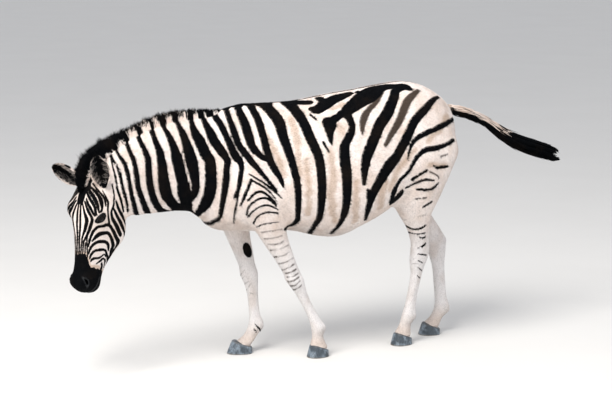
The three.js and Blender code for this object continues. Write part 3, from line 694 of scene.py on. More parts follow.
BLACK = table_rows("""
112 165 1.5, 115 177 2, 117 188 2, 121 200 2, 124 212 1.5
113 160 2, 119 172 3, 122.5 188 3, 126 200 3, 128 212 2
117 152 3, 125 165 4, 129 180 4, 130.5 190 4, 133 200 4, 136 213 4.5
129 150 4, 134 162 4.5, 136.5 175 5, 139 190 5, 147 212 5.5
141 143 4.5, 147.5 158 6, 149 175 6.5, 151 190 6.5, 155 202 6.5, 162 213 6
155 140 5, 160.3 155 7.5, 163 175 9.5, 165 190 11, 170 201 9, 180 212 8
164 127 4, 170 138 6, 174.5 150 8, 177 160 10, 182 180 10, 184 192 12, 186.5 204 10, 187 211 8
178 124 4, 183 134 7, 185 140 7.5, 191 160 11, 195.2 180 8, 194.5 193 7, 189 203 5
191 120 4, 195.5 134 8, 199 140 9.5, 206 155 10, 210 162 10.5, 210.8 180 10.5, 210 190 11, 206 203 10,
198 213 5
203 118 4, 210 132 8, 213.5 140 9, 222 152 8, 227.5 161 6, 226.5 170 6, 225.8 180 6.5, 222 205 5,
219 218 4, 210 223 3
214 115 5, 220 124 6, 228 140 6, 235 155 7.5, 241 165 5, 238 188 4, 234 198 3
235.5 208 1.8, 233.5 220 1.6
226 110 5, 235 134 6.5, 239 145 6, 251 161 6, 264 176 4, 276 191 3
237 106 6, 244 122 8, 249 138 8, 253 148 7, 262 157 5, 270 160 4
250 104 6, 258 120 7, 262.5 134 7, 270 160 7, 280 178 5, 284 188 2
265 104 8, 278 120 10, 283.5 138 9, 293 165 7, 298 188 6.5, 298 215 5, 296 222 4, 285 229 2
287.5 101 8, 301 118 9, 308.5 134 9, 319.5 160 8.5, 322 190 8, 320 215 6, 316 224 4, 308 234 2
249 174 1.5, 265 184 2, 277 194 1.8, 281 198 1
251 180 3, 247 190 3, 244 197 3, 240 206 2
251 180 2, 258 184 2, 266 189 1.8, 272 195 1.5, 276 201 1
248 200 2.4, 255 193 2.4, 262 192 2.4, 269 197 2.4, 276 204 1.6
246 215 2, 249 206 2, 258 199 2, 267 198.5 2, 276 206 1.5
247.5 217 1.8, 256.5 208 1.8, 267 205 1.8, 277 209 1.5
253 224 1.8, 258 216 1.8, 267 212 1.8, 278 213 1.5
256.5 227 1.2, 265 224 1.2, 278 222 1
236 207.5 1.2, 233 224 1.2
397 84.4 2, 388 85.5 5, 380 87 6, 374 89.5 9, 366.5 95 13, 357 102 12, 350 107.5 11, 345.5 112 8,
350 119 6.5, 352.3 128 6.5, 349.5 136 7.5, 345.5 144 8.5, 344.5 151 9.5, 345.3 163 10, 347 176 9.5,
347 198 8, 344.5 214 6, 338 227 3, 330 234 1.5
326 121 6, 329.5 124 12, 329.5 132 7.5, 330.5 139 4.5, 332 145 1.5
342 112 6, 337 117 7, 330 121 7
311 108.5 4, 317 109 8, 324.5 104 9, 333 98.5 7, 342 95 5, 350 92.3 3
299.5 101.5 4.5, 309 101.5 4
319 97.5 4, 323.5 101 6
358 91.5 3.5, 361.5 95 5
310 114 2, 316 119 2
323 142 2.5, 329 151.5 2
409 88 4, 402.5 85.5 6, 396 89 8, 393.5 98 9, 390 107 10, 387 114 10.5, 380 124.5 10.5, 375.5 135.5 10,
371 146.5 10, 366.7 158 9, 365 170 7, 364.5 184 3.5
438.5 96.5 2, 433.5 99.5 5, 425 109 7.5, 416 119 8, 412 126.5 8, 408 135.6 8, 402.8 146.7 8,
396.5 157.8 8.5, 390.5 164.5 10, 384 174.5 9, 378 185 8, 372 197 7, 368.5 209 5, 365.5 221 1.5
368 190 3, 369 197 5
452 120 3, 445 124 5, 435 129 5, 424 134 5, 415 140 4, 410 150 2.5, 408 160 1.5
454.5 139 3, 447 144 4, 436 148 5, 426 149.5 5, 417 157 4, 409 171 3, 400 181 3, 394 192 4, 391 201 3
402 191 2, 398 197 5, 392 203 3
433 165 1.5, 438 167.5 3, 448 166.5 3
412 179.6 2.5, 427 170 2.5
406 188 1.5, 416 183 2, 425.6 179.6 2.5, 434 180.4 2
417 189 2.5, 430 189.7 2.5, 439 183.6 2
424 207 2, 432 202 2
415 199 1.2, 420 198 1.2
423 198 1.2, 427 197.5 1.2
405 226 1.2, 412 229 1.6, 420 228.5 2, 426 225.5 2
406 232 1, 416 234 1, 425.5 233 1.4
419.5 237 1, 423 238 1.4, 426 237 1.8
418 247.5 1.2, 422.5 246.5 1.8, 426 244 2.2
418 254 1, 423 254.5 1.5, 427 255 1.3
418.5 260.5 1.2, 423 263 1.2
418 267 1.2, 422.5 271 1.2
417.5 275.5 1, 420.5 278 1.2
255 324 1, 259 328 1.6, 262 330 1
254 329 1, 258 333 1.8, 261 334 1
252 334 1, 256 337 1.4, 259 338 1
""")
print("black bands", len(BLACK))

# %% Brown bars, and the soft shadows between the bands
BROWN = table_rows("""
382 93 3, 376.7 101 4.5, 369 109 6, 364.5 116.7 7.5, 362.5 124.5 6, 362.5 134 2.5
418 90 4, 411 96.7 7, 405.5 104.5 8, 402 114.5 7.5, 397.8 124.5 7, 392 134.5 6, 386 145 4
441.6 156.4 2, 448 154 2
430 171.6 2, 438 175.6 2, 440 179 1.5
418 217 0.8, 426 215 0.8
261 232.5 1.2, 272 231 1.2, 282.5 229 1.2
264 239 1.2, 274 238 1.2, 282.5 235.5 1.2
268 244.5 1.4, 277 244 1.4, 285 241 1.4
270 250.5 1.4, 280 249 1.4, 289 245 1.4
273 257 1.4, 282 256 1.4, 290 251.5 1.4
278 264 1.4, 286 262 1.4, 294 257.5 1.4
280 270.5 1.4, 288 268 1.6, 295 263.5 1.6
285 273.5 1.4, 291 272.5 1.8, 296.5 269 1.8
286 277 1.4, 293 276.5 1.8, 299 273 1.8
287.5 281.5 1.4, 294 280.5 1.8, 299.5 276.5 1.8
289.5 286 1.4, 296 285 1.6, 300.5 280.5 1.6
291 290 1.2, 297 289 1.4, 302 285 1.4
239 268.5 0.7, 243 266 0.7
240 275.5 0.9, 244 270 0.9
242 278.5 0.9, 247.5 273.5 0.9
244 284 0.9, 248.5 281.5 0.9
246 290 0.8, 250 284.5 0.8
247 293 0.6, 255.5 293.5 0.6
""")
SHADOW = table_rows("""
430 106 4, 420 112 5, 405 132 4
344 103 3, 333 108 3
338 126 4, 343 132 4
330 152 4, 333 175 5, 331 200 6, 335 222 4
357 183 4, 356 200 5, 355 222 4
386 180 4, 382 196 5, 380 208 3
291 118 4, 296 135 5, 298 155 4, 300 175 3
306 160 3, 309 190 4, 308 215 4
415 150 3, 400 168 4, 390 190 3
448 116 4, 440 128 4, 428 140 3
445 166 3, 430 164 3
262 130 3, 274 150 4, 284 175 4
""")
print("brown bars", len(BROWN), "soft shadows", len(SHADOW))

# %% Lines of the face
FACE = table_rows("""
82 180 8, 82 188 8, 81.5 196 5, 81 203 2.5
90.5 166 4, 88 176 7, 84.5 186 7
80.3 205 1.2, 79.9 214 1.6, 79.8 222 1.7, 79.7 228 1.7, 79.3 233 1.6, 78.9 240 1.5, 78.6 251 1.4,
78.5 257 1.3
82.3 204 1.2, 83.8 211.4 1.8, 85.4 216.4 2.6, 86.4 220 3, 86.3 223 3, 85.4 226.4 3, 84.6 230 2.6,
83.2 233.5 2, 81.8 238 1.7, 81.3 243 1.4, 80.5 252 1.2, 80.2 257 1.2
84.4 201.5 1.4, 86.8 208.7 2, 88.8 213 2.3, 90.7 216.4 2.3, 91.8 220 2.4, 91.5 223 2.5, 90.4 226.4 2.7,
89.3 230 2.6, 87.5 234 2.2, 85.2 238 1.7, 83.3 243 1.5, 82.6 252 1.1, 82.2 257 1.1
87.5 234 1.8, 86.9 239 1.3, 87.1 244 1.2, 87.5 252 1.1, 87.9 257 1
85.8 242.5 1, 85.2 246 1.2, 85 252 1.1, 84.9 257 1
86 198.5 1.4, 88.2 204.8 2.2, 90.4 208.7 2.3, 92.4 212.6 2.2, 94.6 215.8 2
86.3 191 1.8, 89.9 198.7 2.6, 92.4 203 2.6, 94.6 207 2.4, 95.4 211 2.2, 96.4 214.8 1.8
87.3 187.5 2.2, 91.6 193.7 3, 93.8 197 3.2, 96 200.9 3.2, 98 205.3 2.8, 98.8 209.5 2.2, 99.3 212.3 1.5
88.5 184.5 1.5, 92.7 188.7 2.2, 96.6 192.6 2.8, 99.9 197 3.2, 102 201.4 3.4, 103.2 205.9 3,
102.7 209.8 2.2, 100 212.6 1.2
92.7 183 1.4, 96 187.6 1.6, 99.9 192 1.7, 103.8 196.4 1.8, 106 200.9 1.6, 106.8 206 1
102 189 0.7, 107 198 1.4, 108.8 203 1.6, 108.5 208 1.4, 108.5 213 1.4, 108.8 217.6 1.5, 109.8 224 1.6
114 197 1, 114.3 204.2 1.5, 113.2 208 1.5, 111.9 212 1.7, 112.1 215.3 2, 113.2 219.2 2.4, 115.4 223 2.7,
117.7 227.6 3, 119.3 231.4 3, 121 235 2.4
113.2 207 1, 115.4 211.4 1.8, 117.7 216.4 2.1, 120.7 222 2.3, 123.2 227.6 2.2, 124.5 231 1.6
116.6 201.4 1.5, 118.5 207 1.9, 120.7 212 2, 122.9 216.4 1.9, 124.5 220 1.4
112 184 1, 114 192 1.2, 115 199 1
88.5 247 1, 89 244.7 1.6, 89.9 240.2 1.9, 91 236.9 2.1, 92.7 233 2.4, 94.4 230.2 2.4, 97.7 227.4 2.3,
100.4 226.6 2, 103.8 225.8 2.1, 106 224.9 2.5, 108.2 224.9 2.6, 110.4 225.9 2.5, 112.1 228.5 2.3,
114.3 232.4 2.6, 115.7 235.8 2.7, 117.4 239 2.8, 118.8 242.4 2.8, 117.7 245.8 2.4, 115.4 249 1.4
92.1 241.9 1, 93.8 239.7 1.9, 96 237.4 2.7, 98.2 235.2 3.2, 101 233.6 3.1, 104.3 233 2.8, 107.7 233 2.7,
109.9 234.7 2.5, 111.6 238 2.3, 112.9 241.9 2.5, 113.8 245.8 2.4, 112.7 249 2.2, 111.3 251.9 1.8,
111 254 1.2
88.8 254 1.2, 89.4 252.4 1.5, 90.4 249 2.1, 92.7 245.8 2.3, 94.9 243.6 2.3, 97.7 242.2 2.4, 101 241.6 2.7,
104.9 241.9 2.7, 107 242.7 2.5, 108.8 244.7 2, 109.3 247.4 1.8, 109.3 250.4 1.2
90 259 1.2, 90.5 257.2 1.6, 91.6 254.7 2, 93.8 251.9 2, 96.6 250.5 2.1, 100.4 249.9 2.3, 104.3 249.9 2,
106.6 251.3 1.8, 107.4 254.7 1.7, 108.2 258 1.7, 107.7 261.5 1.2
91.4 261 1.6, 93.2 259.1 2.1, 96 258.3 1.8, 99.3 258 1.6, 102 256.6 1.4, 103.8 255.1 1.1, 104.9 254.5 1.1,
106.4 256.5 1.2
96.5 264 0.8, 100.4 261.3 1.5, 102.7 259.4 1.7, 104.3 258.8 1.5, 105.7 260.8 1.3, 104.9 264.7 1.1,
104.3 267.5 1
102.1 263.6 1.4, 102.4 266.9 1.7, 101.4 269.3 1.7
""")
print("lines of the face", len(FACE))

# %% Even steps along the stripes
STEP = 1.2  # pixels between the points of a stripe
NECK_STRIPES, RUN_ON = 16, 14  # the stripes that run on up into the mane, and by how many pixels


def read_stripes(table, run_on=0):
    """Each line of a table as an array of x, y and width at even steps along the stripe. The first
    `run_on` stripes go on beyond their first point."""
    found = []
    for number, line in enumerate(table):
        rows = numbers(line)
        if number < run_on:
            way = (rows[0] - rows[1]) / np.hypot(*(rows[0] - rows[1])[:2])
            rows = np.concatenate([[rows[0] + way * RUN_ON * [1, 1, 0]], rows])
        rows = smooth_rows(rows, 8)
        length = run_length(rows[:, :2])
        even = np.linspace(0, length[-1], max(2, int(length[-1] / STEP) + 1))
        found.append(rows_at(even, length, rows))
    return found


drawn = [read_stripes(BLACK, NECK_STRIPES), read_stripes(BROWN), read_stripes(SHADOW), read_stripes(FACE)]
print("points drawn", [sum(len(stripe) for stripe in stripes) for stripes in drawn])

# %% From the frame to the body
BOLD, FACE_BOLD = 1.14, 1.32  # stripes are a little wider than they are drawn
WIDEST, FACE_WIDEST = 2.2, 1.6  # most that a stripe's slant to the camera can widen it


def on_body(stripes, widest=WIDEST, bold=BOLD):
    """Stripes as places in space and half widths in millimetres. The half width is how far apart
    the body is met on either side of the stripe's middle, within `widest` times the plain scale."""
    every = np.concatenate(stripes)
    along = unit(np.concatenate([np.gradient(s[:, :2], axis=0) for s in stripes]))
    beside = along[:, ::-1] * [-1, 1] * every[:, 2:] / 2
    middle = settle(meet(every[:, :2])[0], skin_field, 2)
    scale = np.linalg.norm(middle - CAMERA_AT, axis=1) / LENS_PIXELS * every[:, 2] / 2
    halves = []
    for hand in (-1, 1):
        edge, met = meet(every[:, :2] + hand * beside)
        edge = settle(edge, skin_field, 2)
        apart = np.linalg.norm(edge - middle, axis=1)
        halves.append(np.where(met, np.clip(apart, scale, scale * widest), scale * widest))
    half = (halves[0] + halves[1]) / 2 * bold
    cuts = np.cumsum([len(s) for s in stripes])[:-1]
    return list(zip(np.split(middle, cuts), np.split(half, cuts)))


seen = [on_body(stripes) for stripes in drawn[:3]] + [on_body(drawn[3], FACE_WIDEST, FACE_BOLD)]
print("widest stripe", round(max(half.max() for _, half in seen[0]) * 2), "millimetres")

# %% On round the body
GRAZING = 0.55  # a stripe that ends where the skin turns away this much runs on out of sight
RUN_STEPS, RUN_STEP = 13, 13  # steps of a stripe out of sight, and the longest step
BROAD = 6  # half width of a stripe that runs on
NECK_END, RUMP_START, RUMP_FOOT = -450, 430, 700  # y of both places where stripes run on, and lowest z
FACING_UP = 0.3  # stripes that end on skin facing up more than this stop at the line of the spine


def run_round(stripes):
    """Carries stripes on over the skin from ends that the camera sees edge on: each step goes on
    the way the last one went, and slides back on to the skin. The stripe thins out as it goes."""
    lines = [line[::turn] for line, half in stripes for turn in (1, -1)]
    halves = [half[::turn] for line, half in stripes for turn in (1, -1)]
    at = np.array([line[-1] for line in lines])
    way = at - np.array([line[-min(5, len(line))] for line in lines])
    size = np.minimum(RUN_STEP, np.array([half[-4:].mean() for half in halves]) * 1.6)
    normal = unit(slope(skin_field, at))
    broad = np.array([half[-3:].max() for half in halves]) > BROAD
    goes = np.abs((normal * unit(at - CAMERA_AT)).sum(1)) < GRAZING
    goes &= (broad & (at[:, 1] < NECK_END)) | ((at[:, 1] > RUMP_START) & (at[:, 2] > RUMP_FOOT))
    goes &= normal[:, 2] < FACING_UP
    more = []
    for _ in range(RUN_STEPS):
        way *= (size / np.maximum(np.linalg.norm(way, axis=1), 1e-6))[:, None]
        ahead = settle(at + way, skin_field, 2)
        way, at = ahead - at, ahead
        more.append(ahead)
    more = np.stack(more, 1)
    found = []
    for n, (line, half) in enumerate(stripes):
        for k, turn in ((2 * n, 1), (2 * n + 1, -1)):
            if goes[k] and len(line) > 3:
                fade = halves[k][-3:].max() * np.linspace(1, 0.1, RUN_STEPS)
                line = np.concatenate([line[::turn], more[k]])[::turn]
                half = np.concatenate([half[::turn], fade])[::turn]
        found.append((line, half))
    print("stripes that run on round the body", int(goes.sum()))
    return found


black_stripes, face_stripes = run_round(seen[0]), run_round(seen[3])
brown_stripes, shadow_stripes = seen[1:3]
print("stripes", len(black_stripes), len(brown_stripes), len(face_stripes))

# %% [markdown]
# ## Markings at a point
# The right side is the left one folded over, a little wavy so that the two aren't mirror images. A
# point's distance to the nearest stripe's edge, below zero on the stripe, is kept with the point,
# and the material turns it into colour with a crisp edge however coarse the mesh is.

# %% Folding the right side over
def ripple(p, size, seed, waves=7):
    """Smooth noise between about -1 and 1: the mean of sines in directions drawn from the seed."""
    rng = np.random.default_rng(seed)
    way = rng.normal(size=(waves, 3))
    way *= 2 * np.pi / size / np.linalg.norm(way, axis=1)[:, None] * rng.uniform(0.6, 1.6, (waves, 1))
    return np.sin(p @ way.T + rng.uniform(0, 6.3, waves)).mean(1) * 1.8


WAVY = 9  # how far the right side's stripes stray from the mirror image,
WAVY_FROM = 60  # and from how far beyond the middle line they do so fully


def folded(p):
    """The point's twin on the left side, across the plane down the middle of the neck and trunk."""
    middle = np.interp(p[:, 1], NECK[::-1, 1], NECK[::-1, 0])
    right = p[:, 0] < middle
    stray = np.stack([ripple(p, 300, 11), ripple(p, 300, 12), ripple(p, 260, 13)], 1) * WAVY
    keep = ramp(middle - p[:, 0], 0, WAVY_FROM)[:, None]
    twin = p + stray * keep
    twin[:, 0] = 2 * middle - twin[:, 0]
    return np.where(right[:, None], twin, p)


FAR_LEG, LEG_STRIPES = -20, 600  # x and z below which a line lies on a right leg


def fold_over(stripes):
    """Lines drawn on the right legs, as their twins on the left."""
    return [(folded(line) if line[:, 0].mean() < FAR_LEG and line[:, 2].mean() < LEG_STRIPES else line, half)
            for line, half in stripes]


black_stripes, brown_stripes = fold_over(black_stripes), fold_over(brown_stripes)
print("folded", len(black_stripes) + len(brown_stripes), "stripes")

# %% Distance to the stripes
CLEAR = 40.0  # distance given to a point far from any stripe


def stripe_distance(p, stripes):
    """The least of (distance to the stripe's middle line - its half width) over the stripes."""
    best = np.full(len(p), CLEAR)
    for line, half in stripes:
        reach = CLEAR + half.max()
        low, high = line.min(0) - reach, line.max(0) + reach
        near = np.flatnonzero(((p > low) & (p < high)).all(1))
        q = p[near]
        found = np.full(len(q), CLEAR)
        for a, b, r0, r1 in zip(line[:-1], line[1:], half[:-1], half[1:]):
            way = b - a
            t = np.clip((q - a) @ way / max(way @ way, 1e-6), 0, 1)
            gap = q - a - t[:, None] * way
            found = np.minimum(found, np.sqrt((gap**2).sum(1)) - r0 - (r1 - r0) * t)
        best[near] = np.minimum(best[near], found)
    return best


print("from the flank to black", stripe_distance(np.array([[250.0, 100, 1000]]), black_stripes).round(1))

# %% [markdown]
# ## The same skin, finer where it matters
# The head, the legs and the thin stripes are divided again, so that no line breaks up into beads. The
# face is divided once more, and the lids and nostrils a third time.

# %% Finer where it matters
THIN = 8.0  # half width, in millimetres, of a stripe that needs finer skin
thin_stripes = [(line, half) for line, half in black_stripes + brown_stripes if half.max() < THIN]
HEAD_FROM, HEAD_TO, FACE_FROM, FACE_LOW = -40, 570, 62, -215  # down the head, and to its front
LIMB_TOP = 440  # level below which all is leg
LINE_REACH, EYE_REACH, NOSTRIL_REACH = 9, 38, 30  # how far finer skin goes round these


def close_up(p):
    """0 on the body, 1 on legs, head and thin stripes, 2 on the face, 3 round eyes and nostrils."""
    h = folded_head(p)
    head = (h[:, 0] > HEAD_FROM) & (h[:, 0] < HEAD_TO) & (np.abs(h[:, 1] + 60) < 190) & (h[:, 2] < 130)
    limb = p[:, 2] < LIMB_TOP
    flank = np.flatnonzero(~limb & ~head)
    limb[flank] = stripe_distance(folded(p[flank]), thin_stripes) < LINE_REACH
    looked_at = head & (h[:, 0] > FACE_FROM) & (h[:, 1] > FACE_LOW)
    eye = np.linalg.norm(h - EYE, axis=1) < EYE_REACH
    nostril = np.linalg.norm(h - NOSTRIL, axis=1) < NOSTRIL_REACH
    return (head | limb).astype(int) + looked_at + (looked_at & (eye | nostril))


def divide(points, faces, wanted):
    """Splits every edge whose ends are both wanted; neighbours take the new points as corners."""
    mesh = bpy.data.meshes.new("working")
    mesh.from_pydata(points, [], faces)
    work = bmesh.new()
    work.from_mesh(mesh)
    edges = [e for e in work.edges if wanted[e.verts[0].index] and wanted[e.verts[1].index]]
    bmesh.ops.subdivide_edges(work, edges=edges, cuts=1, use_grid_fill=True)
    work.to_mesh(mesh)
    work.free()
    co = np.empty(len(mesh.vertices) * 3)
    mesh.vertices.foreach_get("co", co)
    faces = [list(polygon.vertices) for polygon in mesh.polygons]
    bpy.data.meshes.remove(mesh)
    return co.reshape(-1, 3), faces


faces = quads.tolist()
for level in (1, 2, 3):
    wanted = close_up(points) >= level
    points, faces = divide(points, faces, wanted)
    fresh = close_up(points) >= level
    points[fresh] = settle(points[fresh], skin_field, 2)
    print("level", level, "points", len(points))
print("refined skin", len(points), "points", sum(len(f) - 2 for f in faces), "triangles")

# %% [markdown]
# ## Ears
# A zebra's ear is a tall leaf rolled into a scoop, open to the front. Its section is a half ring:
# an outer arc, and an inner arc that is the outer one pushed in by a share of its depth. The two
# ears are turned differently, as a listening animal does, and their roots are sunk in the skull.

# %% Ear lofts
EAR = np.array([  # share of the length, half width, how deep the scoop is
    [0, 12, 0.30], [0.10, 24, 0.55], [0.20, 35, 0.70], [0.35, 46, 0.80], [0.54, 49, 0.80],
    [0.72, 44, 0.76], [0.86, 34, 0.66], [0.95, 20, 0.50], [1, 6, 0.30]])
EAR_LENGTH, EAR_ROOT = 162, np.array([32, -23, 85])
EAR_DEPTH, EAR_RIM, EAR_LIP = 0.85, 0.92, 1.5
EARS = {  # down, front and side of the head: along the ear, and out of its opening
    "ear_left": (1, [-0.94, 0.41, -0.04], [0, 0.72, 0.69]),
    "ear_right": (-1, [-0.50, 0.58, -0.65], [0.53, 0.78, 0.33])}
PALE = {"ear_left": (0.74, 0.62), "ear_right": (0.10, 0.74)}  # where white hair starts across and ends along
EAR_STEPS, EAR_ROUND = 44, 20


def ear_axes(name):
    """Root, up, open side and width of an ear, in the body's millimetres."""
    hand, along, opening = EARS[name]
    root = from_head(EAR_ROOT * [1, 1, hand])
    up = unit(np.array(along) @ HEAD_AXES)
    out = square_to(np.array(opening) @ HEAD_AXES, up)
    return root, up, out, np.cross(up, out)


def ear(name):
    """Rings of points: root + up * share * length, then an arc out and a shallower arc back."""
    root, up, out, side = ear_axes(name)
    share = np.linspace(0, 1, EAR_STEPS)[:, None]
    rows = smooth_rows(EAR)
    half, hollow = [np.interp(share, rows[:, 0], rows[:, c]) for c in (1, 2)]
    half = half - THIN_COAT * np.minimum(1, (1 - share) * 6) * 0.6
    angle = np.linspace(0, np.pi, EAR_ROUND)[None, :]
    wide = np.concatenate([half * np.cos(angle), (half * EAR_RIM * np.cos(angle))[:, ::-1]], 1)
    deep = np.concatenate([
        EAR_LIP - half * EAR_DEPTH * np.sin(angle),
        (-half * EAR_DEPTH * hollow * np.sin(angle))[:, ::-1]], 1)
    centre = root + up * share * (EAR_LENGTH - THIN_COAT)
    ring = centre[:, None] + side * wide[..., None] + out * deep[..., None]
    return ring.reshape(-1, 3)


def tube_faces(rings, around):
    """Quads between rings of equal size, with a polygon at each end."""
    i, j = np.meshgrid(np.arange(rings - 1), np.arange(around), indexing="ij")
    k = (j + 1) % around
    a, b = i * around, (i + 1) * around
    first, last = list(range(around)), list(range((rings - 1) * around, rings * around))
    return np.stack([a + j, a + k, b + k, b + j], -1).reshape(-1, 4).tolist() + [first[::-1], last]


def outwards(p, faces):
    """Turns all faces round if the volume they close comes out below zero."""
    a, b, c = p[np.array([f[:3] for f in faces]).T]
    inward = np.einsum("ij,ij->i", a, np.cross(b, c)).sum() < 0
    return [f[::-1] for f in faces] if inward else faces


faces = outwards(points - points.mean(0), faces)
EAR_PART = {}  # first and last point of each ear in the skin
for name in EARS:
    ring = ear(name)
    ear_faces = outwards(ring - ring.mean(0), tube_faces(EAR_STEPS, 2 * EAR_ROUND))
    EAR_PART[name] = (len(points), len(points) + len(ring))
    faces = faces + [[n + len(points) for n in f] for f in ear_faces]
    points = np.concatenate([points, ring])
print("skin with ears", len(points), "points", sum(len(f) - 2 for f in faces), "triangles")

# %% [markdown]
# ## Colours at a point
# Besides the stripes there are the black muzzle with its tan edge, dark bare skin at the eyes,
# nostrils and lips, the line along the spine and belly, faint bars round the legs, and the ears,
# which are white, black and white again from root to tip.

# %% Head, legs and ears
MUZZLE_EDGE = np.array([  # front and down of the head where the black of the muzzle starts
    [-130, 462], [-95, 433], [-70, 424], [-24, 419], [-14, 408], [-6, 388], [2, 366], [10, 358], [40, 362]])
EYE_PATCH = (34, 23)  # half length and half height of the black skin round the eye
CHESTNUT = (547, -17, 42, 26)  # horny patch inside the forearm: level, forwards, half height, half width
BAR_STEP = 34  # from one faint bar round a leg to the next


def mark_head(p, marks, mine):
    """Muzzle with its tan edge, and bare skin at the eyes, nostrils and lips."""
    h = folded_head(p[mine])
    start = np.interp(h[:, 1], MUZZLE_EDGE[:, 0], MUZZLE_EDGE[:, 1])
    muzzle = (start - h[:, 0]) * 0.8 + 3 * ripple(p[mine], 30, 4)
    slit, out = slit_gauge(h)
    patch = np.hypot((h - EYE) @ SLIT / EYE_PATCH[0], (h - EYE) @ LID_UP / EYE_PATCH[1])
    patch = np.where(out > -6, (patch - 1) * EYE_PATCH[1], CLEAR)
    marks["black"][mine] = np.minimum(marks["black"][mine], np.minimum(muzzle, patch))
    marks["tan"][mine] = 0.9 * np.exp(-(((muzzle - 5) / 9) ** 2))
    lids = np.where(out > -4, ramp(slit, 8, 4), 0)
    nostrils = ramp(nostril_gauge(h), 1.75, 1.35)
    lips = ramp(mouth_distance(h), 6, 3)
    marks["bare"][mine] = np.maximum(np.maximum(lids, nostrils), lips)


def mark_leg(p, marks, name, mine):
    """Faint brown bars, the forelegs' chestnuts, and a tan tone above the hooves."""
    q = p[mine]
    out, ahead = leg_axes(name, q)
    wave = q[:, 2] + 14 * ripple(q, 160, 21) + 0.35 * ahead
    faint = 7 + 5 * ripple(q, 120, 22) + 10 * ramp(q[:, 2], 430, 340)
    faint = faint + 12 * (name == "foreleg_left") + 12 * ramp(out, 0, -30)
    bars = np.abs((wave + BAR_STEP / 2) % BAR_STEP - BAR_STEP / 2) - 4 + faint
    marks["brown"][mine] = np.minimum(marks["brown"][mine], bars)
    if name.startswith("fore"):
        level, forwards, high, wide = CHESTNUT
        spot = (np.hypot((q[:, 2] - level) / high, (ahead - forwards) / wide) - 1) * wide
        marks["black"][mine] = np.minimum(marks["black"][mine], np.where(out < 0, spot, CLEAR))
    marks["tan"][mine] = np.maximum(marks["tan"][mine], 0.55 * ramp(q[:, 2], 170, 80))


def mark_ear(p, marks, name, mine):
    """White, black and white from root to tip behind; inside dark skin, with white hair at the rims."""
    q = p[mine]
    root, up, way, side = ear_axes(name)
    share, deep, across = (q - root) @ up / EAR_LENGTH, (q - root) @ way, (q - root) @ side
    half = np.interp(share, EAR[:, 0], EAR[:, 1])
    level = share + 0.03 * ripple(q, 30, 5)
    back = np.maximum(0.50 - level, level - 0.88) * EAR_LENGTH
    inside = np.hypot(across, deep / EAR_DEPTH) / half < 0.95
    rim = np.abs(across) / half + 0.05 * ripple(q, 18, 6) > 0.88
    front = -EARS[name][0] * across / half - PALE[name][0] + 0.08 * ripple(q, 22, 7)
    pale = rim | ((front > 0) & (share + 0.05 * ripple(q, 14, 8) < PALE[name][1]))
    marks["black"][mine] = np.where(inside, np.where(pale, 8, -4), back)
    marks["brown"][mine], marks["bare"][mine], marks["tan"][mine] = CLEAR, 0, 0.15


print("bars round the legs every", BAR_STEP, "millimetres")

# %% All the colours of a point
DORSAL, VENTRAL = 9, 9  # half widths of the lines along the spine and the belly
DOCK_BLACK = 360  # length along the dock where black hair starts


def markings(p, part):
    """Black, brown, bare skin and tan at points of the body, as a dictionary of arrays."""
    fields = tube_fields(p)
    on_head = fields["head"] < np.minimum(fields["neck"] + 6, 60)
    black, brown = np.full(len(p), CLEAR), np.full(len(p), CLEAR)
    rest = ~on_head & (p[:, 2] > 110) & (p[:, 1] < 640)
    twin = folded(p[rest])
    black[rest] = stripe_distance(twin, black_stripes)
    broken = 2.5 * np.clip(ripple(p[rest], 26, 25) + 0.3, 0, 2) * (p[rest, 2] < 640)
    brown[rest] = stripe_distance(twin, brown_stripes) + broken
    soft = stripe_distance(twin, shadow_stripes) + 6 * ripple(p[rest], 50, 24)
    black[on_head] = stripe_distance(from_head(folded_head(p[on_head])), face_stripes + black_stripes[:4])
    back, keel = [np.interp(p[:, 1], TRUNK[:, 0], TRUNK[:, c]) for c in (1, 3)]
    spine = (p[:, 1] > -470) & (p[:, 1] < 640) & (p[:, 2] > back - 60)
    black = np.where(spine, np.minimum(black, np.abs(p[:, 0]) - DORSAL), black)
    under = (p[:, 1] > -380) & (p[:, 1] < 180) & (p[:, 2] < keel + 40)
    black = np.where(under, np.minimum(black, np.abs(p[:, 0]) - VENTRAL - 5 * ripple(p, 200, 3)), black)
    marks = {"black": black, "brown": brown, "bare": np.zeros(len(p)), "tan": np.zeros(len(p))}
    marks["tan"][rest] = 0.75 * np.clip(0.75 - soft / 16, 0, 1)
    mark_head(p, marks, on_head)
    dock = fields["tail"] < np.minimum(20, fields["trunk"])
    tail_s, _, tail_up = DOCK_LINE.place(p[dock])
    marks["black"][dock] = np.minimum((DOCK_BLACK - tail_s) * 0.4, tail_up + 4)
    marks["tan"][dock] = 0.75
    for name in LEGS:
        mark_leg(p, marks, name, (fields[name] < 30) & (p[:, 2] < LEG_TOP))
    for name in EARS:
        mark_ear(p, marks, name, part == name)
    dust = ripple(p * [1, 1.6, 0.7], 130, 23) - 0.15
    marks["tan"] = np.maximum(marks["tan"], 0.30 * np.clip(dust, 0, 1))
    for key in ("black", "brown"):
        marks[key] = np.clip(marks[key], -CLEAR, CLEAR)
    return marks


print("at the withers", markings(np.array([[0.0, -300, 1300]]), np.array(["trunk"])))

# %% [markdown]
# ## Unwrapping
# The skin is unwrapped as a furrier would cut it: each tube is slit along its underside and rolled
# out flat, so u is the angle round the tube and v is the length along it. Every tuft later takes the
# place of its root in the same layout.

